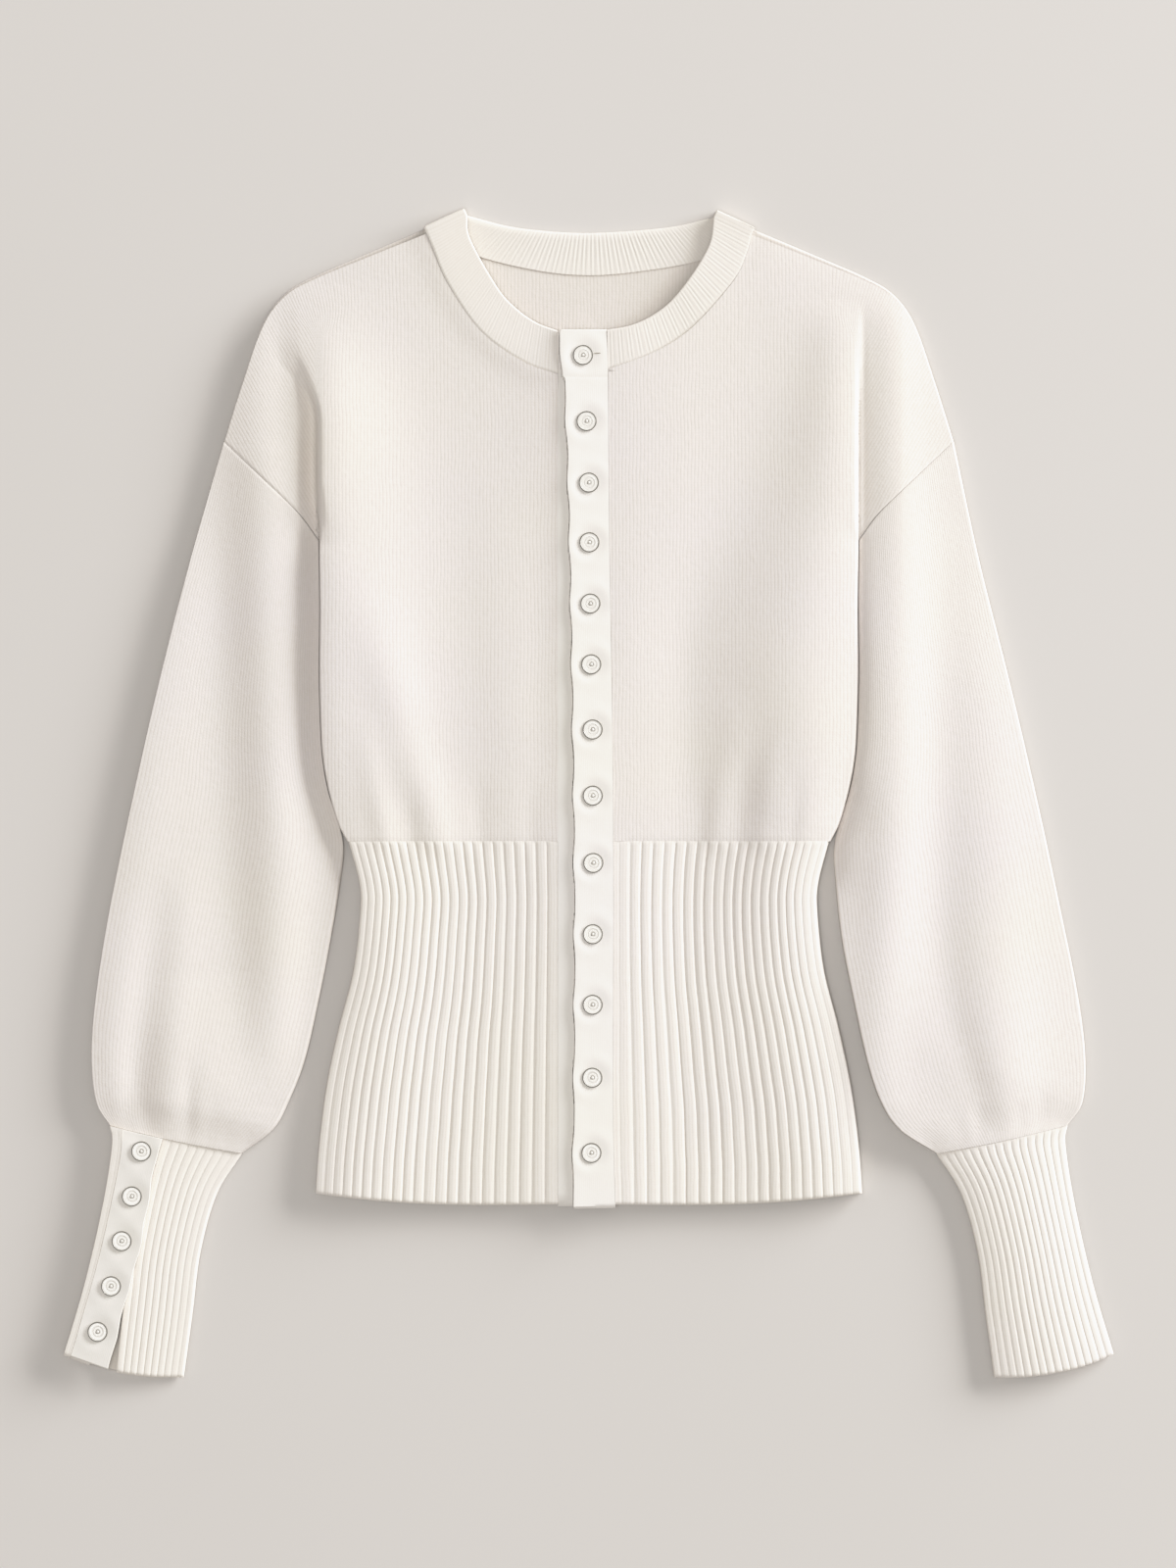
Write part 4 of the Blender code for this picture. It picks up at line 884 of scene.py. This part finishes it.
def cuff_plan(sign, u):
    """The plan of one layer of a cuff, a thread's gap below the sleeve."""
    edges = curves(sign, CUFF_INNER, CUFF_OUTER, CUFF_JOIN[::-1], CUFF_HEM[::-1])
    plan = coons(*(edge.at for edge in edges), u, CUFF_T)
    plan[..., 1] -= THREAD_GAP * 2 * (1 - CUFF_T)[:, None]
    return plan


def cuff_level(side, plan, across):
    """The top of a cuff, and of the sleeve's end at it, without ribs.

    Both fall towards the wearer's left.
    """
    if side == "right":
        past = np.clip(plan[..., 0] - CUFF_BAND_END.x_at(plan[..., 1]), 0, 60)
        return CUFF_TOP - 0.11 * (past - 5 * (1 - np.exp(-past / 5)))
    return CUFF_TOP - 1.0 + 9.0 * across - 12.4 * across**2


def cuff_top(level, phase, depth):
    """The height of a cuff's ribbed top: its ribs start from nothing at the seam."""
    down = CUFF_T[:, None] * CUFF_LENGTH
    top = level + 0.3 - rib_profile(phase) * depth * smooth(0, 2.5, down)
    return top - 0.1 * bell(down, 1.0) - 1.5 * (1 - roll(CUFF_LENGTH - down, 2.2))


def cuff_inside(top):
    """The height of a cuff's inner surface beneath its top."""
    return np.maximum(top - 0.9 - WALL * 0.8, WALL + 0.2)


def cuff_left():
    u = rib_shares(RIBS_ON_CUFF)
    plan, low = cuff_plan(1, u), cuff_plan(1, CUFF_LOW_U)
    width = np.linalg.norm(plan[:, -1] - plan[:, 0], axis=-1)[:, None]
    depth = 0.46 * (0.6 + 0.4 * smooth(0.1, 0.35, u))
    z = cuff_top(cuff_level("left", plan, u), u * RIBS_ON_CUFF, depth)
    turn = edge_shape(u * width, 0.6, 10.0, 0.93), edge_shape((1 - u) * width, 1.5, 10.0, 0.88)
    z = TUBE_TURN + (z - TUBE_TURN) * turn[0] * turn[1]
    outer = np.concatenate([with_z(plan, z), with_z(low, CUFF_LOW_Z)], 1)
    middle = (plan[:, :1] + plan[:, -1:]) / 2
    inner = outer.copy()
    inner[..., :2] = middle + (outer[..., :2] - middle) * (1 - WALL / (width[..., None] / 2))
    inner[:, : len(u), 2] = cuff_inside(z)
    inner[:, len(u):, 2] = WALL
    uv = knit_grid(np.concatenate([u, CUFF_LOW_U]), 70.0, CUFF_T, CUFF_LENGTH)
    return shell("rib_cuff_left", outer, inner, uv, RIB, ["cuff_left"], 6, 5, closed=True)


def cuff_right():
    """The cuff that its slit opens: it runs from the slit's near edge round to the lap beneath."""
    fine_u = np.linspace(0, 1, 81)
    fine = cuff_plan(-1, fine_u)
    across = fine[:, -1] - fine[:, 0]
    size = np.sum(across**2, -1)
    width = np.sqrt(size)[:, None]

    def share_of(points):
        """The share across every row at which a curve down the cuff lies."""
        return (np.sum((Curve(points).at(CUFF_T) - fine[:, 0]) * across, -1) / size)[:, None]

    def read(shares):
        """The plan at its own shares in every row."""
        return np.stack([
            [np.interp(row, fine_u, line[:, k]) for row, line in zip(shares, fine)] for k in (0, 1)
        ], -1)

    to_slit, to_lap = share_of(CUFF_SLIT), share_of(CUFF_UNDERLAP)
    to_band = [np.interp(0.0, CUFF_BAND_EDGE.x_at(line[:, 1]) - line[:, 0], fine_u) for line in fine]
    to_band = np.array(to_band)[:, None]
    near, far = rib_shares(RIBS_INSIDE_SLIT), rib_shares(RIBS_OUTSIDE_SLIT)
    # one far column runs just under the cuff band's edge, the next just outside it
    split, hair = 24, 0.05 / width
    hidden = far[:split + 1] / far[split]
    shown = (far[split + 1:] - far[split + 1]) / (1 - far[split + 1])
    walls = []
    for inset in (0.0, WALL):
        trim, low = inset / width, max(TUBE_TURN, inset)
        near_u = near * to_slit
        far_u = np.concatenate([
            to_lap + (to_band - hair - to_lap) * hidden,
            to_band + hair + (1 - to_band - hair) * shown,
        ], 1)
        pieces = []
        for inside, shares, phase, groove in (
            (True, near_u, near * RIBS_INSIDE_SLIT, 0.4),
            (False, far_u, far * RIBS_OUTSIDE_SLIT, 0.08),
        ):
            shares = np.clip(shares, trim, 1 - trim)
            plan = read(shares)
            level = cuff_level("right", plan, shares)
            edge = np.minimum(shares, 1 - shares) * width - inset
            if inset:
                top, turn = cuff_inside(level), roll(edge, 1.0)
            else:
                # the ribs flatten towards the inner edge
                top = cuff_top(level, phase, groove * (0.5 + 0.5 * smooth(0.02, 0.22, shares)))
                # the far side comes up to the cuff band that is sewn along it
                outside = CUFF_BAND_EDGE.x_at(plan[..., 1]) - plan[..., 0] > 0.01
                top = top + (CUFF_BAND_TOP - CUFF_TOP - 0.4) * outside
                turn = edge_shape(edge, 1.7, 8.0, 0.8) if inside else roll(edge, 0.4)
            pieces.append(with_z(plan, low + (top - low) * turn)[:, ::-1])
        floor = read(trim + CUFF_LOW_U[::-1] * (1 - 2 * trim))
        walls.append(np.concatenate([pieces[0], with_z(floor, np.maximum(CUFF_LOW_Z, inset)), pieces[1]], 1))
    uv = knit_grid(np.linspace(0, 1, walls[0].shape[1]), 140.0, CUFF_T, CUFF_LENGTH)
    return shell("rib_cuff_right", *walls, uv, RIB, ["cuff_right"], 6, 5)


# ---- Neckband ----
def neckband():
    """One strip from the right front's edge round the back to the left one's, turned under
    at both shoulders; each of its rows has a seam point, an edge point and the way up."""
    front_z, back_z = NECK_TOP - WALL / 2 + 0.4, WALL / 2
    radius = (front_z - back_z) / 2
    roundness = 0.2  # of the turns: the two layers press flat right up to the fold
    per_rib = 8

    def run(seam, edge, z, up, length):
        s = np.linspace(0, 1, round(length / NECK_RIB_PITCH) * per_rib + 1)
        return with_z(seam.at(s), z), with_z(edge.at(s), z), with_z(np.zeros((len(s), 2)), up)

    def turn(a, b):
        across = (b - a) / np.linalg.norm(b - a)
        out = np.array((-across[1], across[0])) * (1 if across[0] > 0 else -1)
        reach = np.array((radius * roundness, radius * roundness, radius))
        found = []
        for angle in (0.4, 2.5, 6, *np.linspace(0, 180, 17)[1:-1], 174, 177.5, 179.6):
            w = math.radians(angle)
            up = np.append(out * math.sin(w) ** 0.08, math.cos(w))
            flat = out * (1 - roundness) * radius * math.sin(w) ** 0.05
            shift = up * reach + np.append(flat, (front_z + back_z) / 2)
            found.append((np.append(a, 0) + shift, np.append(b, 0) + shift, up))
        return [np.array(x) for x in zip(*found)]

    seam_r, seam_l, seam_b = curves(1, NECK_SEAM["right"], NECK_SEAM["left"], BACK_NECK_SEAM)
    edge_r, edge_l, edge_b = curves(1, NECK_EDGE["right"], NECK_EDGE["left"], BACK_NECK_EDGE)
    length = seam_r.length * 0.95
    parts = [
        run(seam_r, edge_r, front_z, 1, length),
        turn(seam_r.path[-1], edge_r.path[-1]),
        run(seam_b, edge_b, back_z, -1, edge_b.length * 1.15),
        [x[::-1] for x in turn(seam_l.path[-1], edge_l.path[-1])],
        [x[::-1] for x in run(seam_l, edge_l, front_z, 1, length)],
    ]
    counts = [len(part[0]) for part in parts]
    seam, edge, up = (np.vstack(rows) for rows in zip(*parts))

    def each(*values):
        """A column with one number for each row, from a value or an array for each part."""
        found = [np.broadcast_to(value, count) for value, count in zip(values, counts)]
        return np.concatenate(found)[:, None]

    behind = 0.03 + 0.045 * np.sin(math.pi * np.linspace(0, 1, counts[2]))
    phase = np.concatenate([np.arange(count) / per_rib for count in counts])[:, None]
    ridge = np.cos(phase * math.tau) * each(0.022, 0, behind, 0, 0.04)
    # both ends come up to the button band, which lies on them
    x, on_top = seam[:, 0], up[:, 2] > 0.99
    near = np.where(x > 0, 1.45 * (1 - smooth(16, 60, x)), 1.5 * np.exp((x + 17.9) / 8.0)) * on_top
    # tilted a little, its seam up on the right front and down on the left one
    tilt = np.where(x > 0, -0.3, 0.38) * on_top
    seam[:, 2] += near + tilt
    edge[:, 2] += near - tilt
    across = edge - seam
    width = np.linalg.norm(across, axis=1)[:, None]
    s_top = shares_of([(0.02, 1), (0.06, 2), (0.14, 2), (0.84, 9), (0.94, 4), (0.985, 3), (1.0, 2)])
    s_low = np.array([0.985, 0.93, 0.8, 0.5, 0.2, 0.06])
    half = WALL / 2 + 0.25
    rings = []
    for s in s_top:
        d = np.minimum(s, 1 - s) * width
        # puffed a little, and drawn down softly along its seam
        lift = half * np.maximum(roll(d, 0.9), 0.82 * (s < 0.5)) - 0.12 * bell(s * width, 4.0)
        rings.append(seam + across * s + up * (lift + ridge * smooth(0.0, 3.0, d)))
    for s in s_low:
        d = np.minimum(s, 1 - s) * width
        # the inside of the back band is the side that shows there
        lift = half * roll(d, 1.7) + np.where(up[:, 2:] < 0, ridge * smooth(0.0, 3.0, d), 0.0)
        # inside the back, the band's lower edge lies over the panel's in a thin seam
        over = (up[:, 2:] < -0.99) & (s < 0.1)
        lift = np.where(over, half + 0.25, lift)
        rings.append(seam + across * (s - 0.105 * over) - up * lift)
    grid = np.stack(rings, 1)
    # the left end comes down towards the shoulder's fold
    down = each(0, 0, 0, 1, smooth(0.5, 0.0, np.linspace(0, 1, counts[4])))
    grid[..., 2] -= down * 0.13 * np.maximum(grid[..., 2], 0) ** 2 / 9.0
    grid[..., 2] = np.maximum(grid[..., 2], 0.0)
    along = np.cumsum(np.append(0, np.linalg.norm(np.diff(seam, axis=0), axis=1)))
    uv = np.stack(np.broadcast_arrays(along[:, None], np.concatenate([s_top, s_low]) * 24.0), -1)
    return make_object("rib_neckband", grid, tube(*grid.shape[:2]), uv, RIB, ["neckband"])


# ---- Bands ----
def band(name, left, right, top, low_z, nodes, spots, rows, turns, cols=16, lean=0.0, tuck=0.0):
    """A double-knit band with rolled edges, its free edge drawn in a little between its buttons.

    Its edges roll with the radii in turns, its right edge lies higher than its left one by
    lean, and its top end goes down by tuck. The button band is the one that leans back.
    """
    on_front = lean < 0
    # close rows at the top end and at the neckband's join
    close = (0.2, 0.5, 0.9, 1.4, 2.0, 2.7, 27.3, 27.6, 27.9, 28.2, 28.5, 28.8)
    t = np.unique(np.append(np.linspace(0, 1, rows), np.array(close) / left.length))
    down = t * left.length
    a, b = left.at(t), right.at(t)
    outward = (a - b) / np.linalg.norm(a - b, axis=1)[:, None]
    if on_front:
        a = a + outward * placket_edge(a[:, 1])[:, None]
        a = a - outward * (2.2 * (1 - roll(down, 2.8)))[:, None]
    elif spots:
        middle = (a + b) / 2
        b = b - outward * free_edge([np.linalg.norm(middle - spot, axis=1) for spot in spots])[:, None]
    s = shares_of([(0.008, 2), (0.035, 4), (0.09, 4), (0.91, cols), (0.965, 4), (0.992, 4), (1.0, 2)])
    plan = a[:, None] * (1 - s[:, None]) + b[:, None] * s[:, None]
    width = np.linalg.norm(b - a, axis=1)[:, None]
    to_left, to_right, to_end = s * width, (1 - s) * width, np.minimum(t, 1 - t)[:, None] * left.length
    z = np.full(plan.shape[:-1], top)
    for spot in spots:
        gap = np.linalg.norm(plan - spot, axis=-1)
        z -= 0.55 * bell(gap, 7.5) - 0.22 * bell(gap - 11, 4.0)
    z += lean * (s - 0.5)
    if on_front:
        z += 0.12 * bell(to_left - 1.5, 5.0) - 0.09 * bell(plan[..., 1] - NECK_JOIN_Y, 0.9)
    if not spots:
        z += beside_placket(plan) * (plan[..., 0] < 0)
    z -= tuck * (1 - smooth(0, 8, down))[:, None]
    rise = z - low_z
    if turns[0]:
        rise = rise * roll(to_left, turns[0])
    rise = rise * roll(to_right, turns[1]) * roll(to_end, 0.6 if on_front else 0.25)
    uv = knit_grid(s, 26.0, t, left.length)
    return shell(name, with_z(plan, low_z + rise), with_z(plan, low_z - 0.35), uv, BAND, nodes, 6, 6)


# ---- Buttons ----
BUTTON_PROFILE = [
    (5.3, 0.0), (5.66, 0.15), (5.8, 0.45), (5.8, 0.85), (5.74, 1.1), (5.6, 1.24),
    (5.4, 1.26), (5.2, 1.16), (5.1, 1.02), (4.9, 1.08), (4.3, 1.12), (3.6, 1.06), (3.15, 1.02),
    (3.0, 0.93), (2.86, 0.9), (2.72, 0.95), (2.55, 1.02), (1.7, 1.02), (1.4, 0.92), (1.15, 0.66),
    (0.92, 0.66), (0.72, 1.2), (0.4, 1.38),
]
BUTTON_MIDDLE = 1.4  # its height there
BUTTON_SEGMENTS = 56
RIM_AND_SHADED_GROOVE_ROWS = (1, 2, 3, 4, 5, 6, 19)  # rows of faces in the rim's grey: the rim's, and the bottom of the ring round the dot, where the grey is painted shade in the groove


def button(name, spot, z, node):
    segments = BUTTON_SEGMENTS
    w = math.tau * np.arange(segments) / segments
    circle = np.stack([np.cos(w), np.sin(w)], -1)
    rings = [with_z(spot + radius * circle, z + height) for radius, height in BUTTON_PROFILE]
    points = np.vstack([(*spot, z), *rings, (*spot, z + BUTTON_MIDDLE)])
    faces, last = [], 1 + (len(rings) - 1) * segments
    for i in range(segments):
        j = (i + 1) % segments
        faces += [[0, 1 + j, 1 + i], [last + i, last + j, len(points) - 1]]
    faces += quads(len(rings), segments, 1, True)
    obj = make_object(name, points, faces, points[:, :2], FACE, [node], 80)
    obj.data.materials.append(RIM)
    # the rim and the groove round the dot in grey; in the groove the grey is painted shade
    for k, polygon in enumerate(obj.data.polygons):
        polygon.material_index = int(k // segments - 2 in RIM_AND_SHADED_GROOVE_ROWS)


def buttonhole(name, start, end, cloth):
    """The bit of a stitched buttonhole that shows beside its button: a thin bar laid on the band."""
    surface = BVHTree.FromPolygons([v.co for v in cloth.data.vertices], [p.vertices for p in cloth.data.polygons])
    rings, sides = 15, 8
    points = []
    for share in np.linspace(0, 1, rings):
        x, y = np.array(start) + (np.array(end) - start) * share + (0, 0.12 * math.sin(share * 19))
        z = surface.ray_cast(Vector((x * MM, (y + PLAN_SHIFT_Y) * MM, 0.1)), Vector((0, 0, -1)))[0].z / MM
        size = 0.26 * (0.55 + 0.45 * math.sin(math.pi * min(max(share, 0.05), 0.95)))
        for k in range(sides):
            w = math.tau * k / sides
            points.append((x, y + size * math.cos(w), z + 0.2 + 0.6 * size * math.sin(w)))
    make_object(name, points, tube(rings, sides), np.array(points)[:, :2], THREAD, [])


# ---- The garment's pieces ----
fronts = {side: front(side) for side in SIDES}
backs = [back(), waist_rib_back()]
ribs = {side: waist_rib_front(side) for side in SIDES}
sleeves = {side: sleeve(side) for side in SIDES}
cuffs = {"left": cuff_left(), "right": cuff_right()}
neck = neckband()
under = band(
    "knit_under_band", *(Curve([(x, 268.3), (x, -239.5)]) for x in UNDER_BAND_EDGES),
    PANEL_TOP, PANEL_TOP - 2.0, ["under_band"], [], 120, (0, 0.9), cols=80,
)
placket = band(
    "knit_button_band", BAND_EDGE_LEFT, BAND_EDGE_RIGHT,
    BAND_TOP, BAND_TOP - WALL + 0.3, ["button_band"], BUTTONS, 330, (0.15, 0.08), lean=-1.1,
)
cuff_band = band(
    "knit_cuff_band", CUFF_BAND_EDGE, CUFF_BAND_END,
    CUFF_BAND_TOP, CUFF_BAND_TOP - WALL + 0.3, ["cuff_band"], CUFF_BUTTONS, 140, (0.1, 0.35),
    lean=0.9, tuck=0.5,
)
for number, spot in enumerate(BUTTONS, 1):
    button(f"pearl_button_{number:02d}", spot, BAND_TOP - 0.35, f"front_button_{number:02d}")
for number, spot in enumerate(CUFF_BUTTONS, 1):
    button(f"pearl_cuff_button_{number}", spot, CUFF_BAND_TOP - 0.35, f"cuff_button_{number}")
buttonhole("buttonhole_01", (3.1, 256.5), (6.9, 256.6), placket)

# ---- Stage, light and camera ----
FLOOR_HALF, FLOOR_Z = 4, -0.0002
corners = [(x * FLOOR_HALF, y * FLOOR_HALF, FLOOR_Z) for x, y in ((-1, -1), (1, -1), (1, 1), (-1, 1))]
floor_mesh = bpy.data.meshes.new("floor")
floor_mesh.from_pydata(corners, [], [(0, 1, 2, 3)])
floor_mesh.materials.append(FLOOR)
floor = bpy.data.objects.new("floor", floor_mesh)
bpy.context.scene.collection.objects.link(floor)

world = bpy.data.worlds.new("studio")
world.use_nodes = True
background = world.node_tree.nodes["Background"].inputs
background["Color"].default_value = (1.0, 0.965, 0.92, 1)
background["Strength"].default_value = 0.315
bpy.context.scene.world = world


def softbox(name, towards, distance, width, height, irradiance, colour):
    """A soft light that gives its irradiance, in W/m2, to a face turned to it."""
    data = bpy.data.lights.new(name, "AREA")
    data.shape = "RECTANGLE"
    data.size, data.size_y = width, height
    data.energy = irradiance * math.pi * distance**2
    data.color = colour
    obj = bpy.data.objects.new(name, data)
    away = Vector(towards).normalized()
    obj.location = away * distance
    obj.rotation_mode = "QUATERNION"
    obj.rotation_quaternion = away.to_track_quat("Z", "Y")
    bpy.context.scene.collection.objects.link(obj)


softbox("side", (0.83, 0.49, 0.262), 6.5, 5.0, 2.3, 4.3, (1.0, 1.0, 1.0))
softbox("above", (-0.12, -0.08, 1.0), 6.5, 2.2, 2.2, 0.86, (1.0, 0.99, 0.97))

REFERENCE_Z = 0.006  # the level at which the frame spans its height
FRAME_HEIGHT = 0.912
AIM = (-0.00043, 0.00535)  # the floor's point in the middle of the frame
LENS, SENSOR_HEIGHT = 200, 36
camera_data = bpy.data.cameras.new("camera")
camera_data.lens = LENS
camera_data.sensor_fit = "VERTICAL"
camera_data.sensor_height = SENSOR_HEIGHT
camera = bpy.data.objects.new("camera", camera_data)
camera.location = (*AIM, REFERENCE_Z + FRAME_HEIGHT / SENSOR_HEIGHT * LENS)
bpy.context.scene.collection.objects.link(camera)
bpy.context.scene.camera = camera
view = bpy.context.scene.view_settings
view.view_transform = "Standard"
# a soft shoulder, as film has, so that the edges that face the light keep their form
view.use_curve_mapping = True
HIGHLIGHT = 1.8  # the scene's light that comes out white
view.curve_mapping.white_level = (HIGHLIGHT,) * 3
every_channel = view.curve_mapping.curves[3]
for light, shown in ((0.4, 0.4), (0.8, 0.8), (1.0, 0.935), (1.3, 0.97)):
    every_channel.points.new(light / HIGHLIGHT, shown)
view.curve_mapping.update()
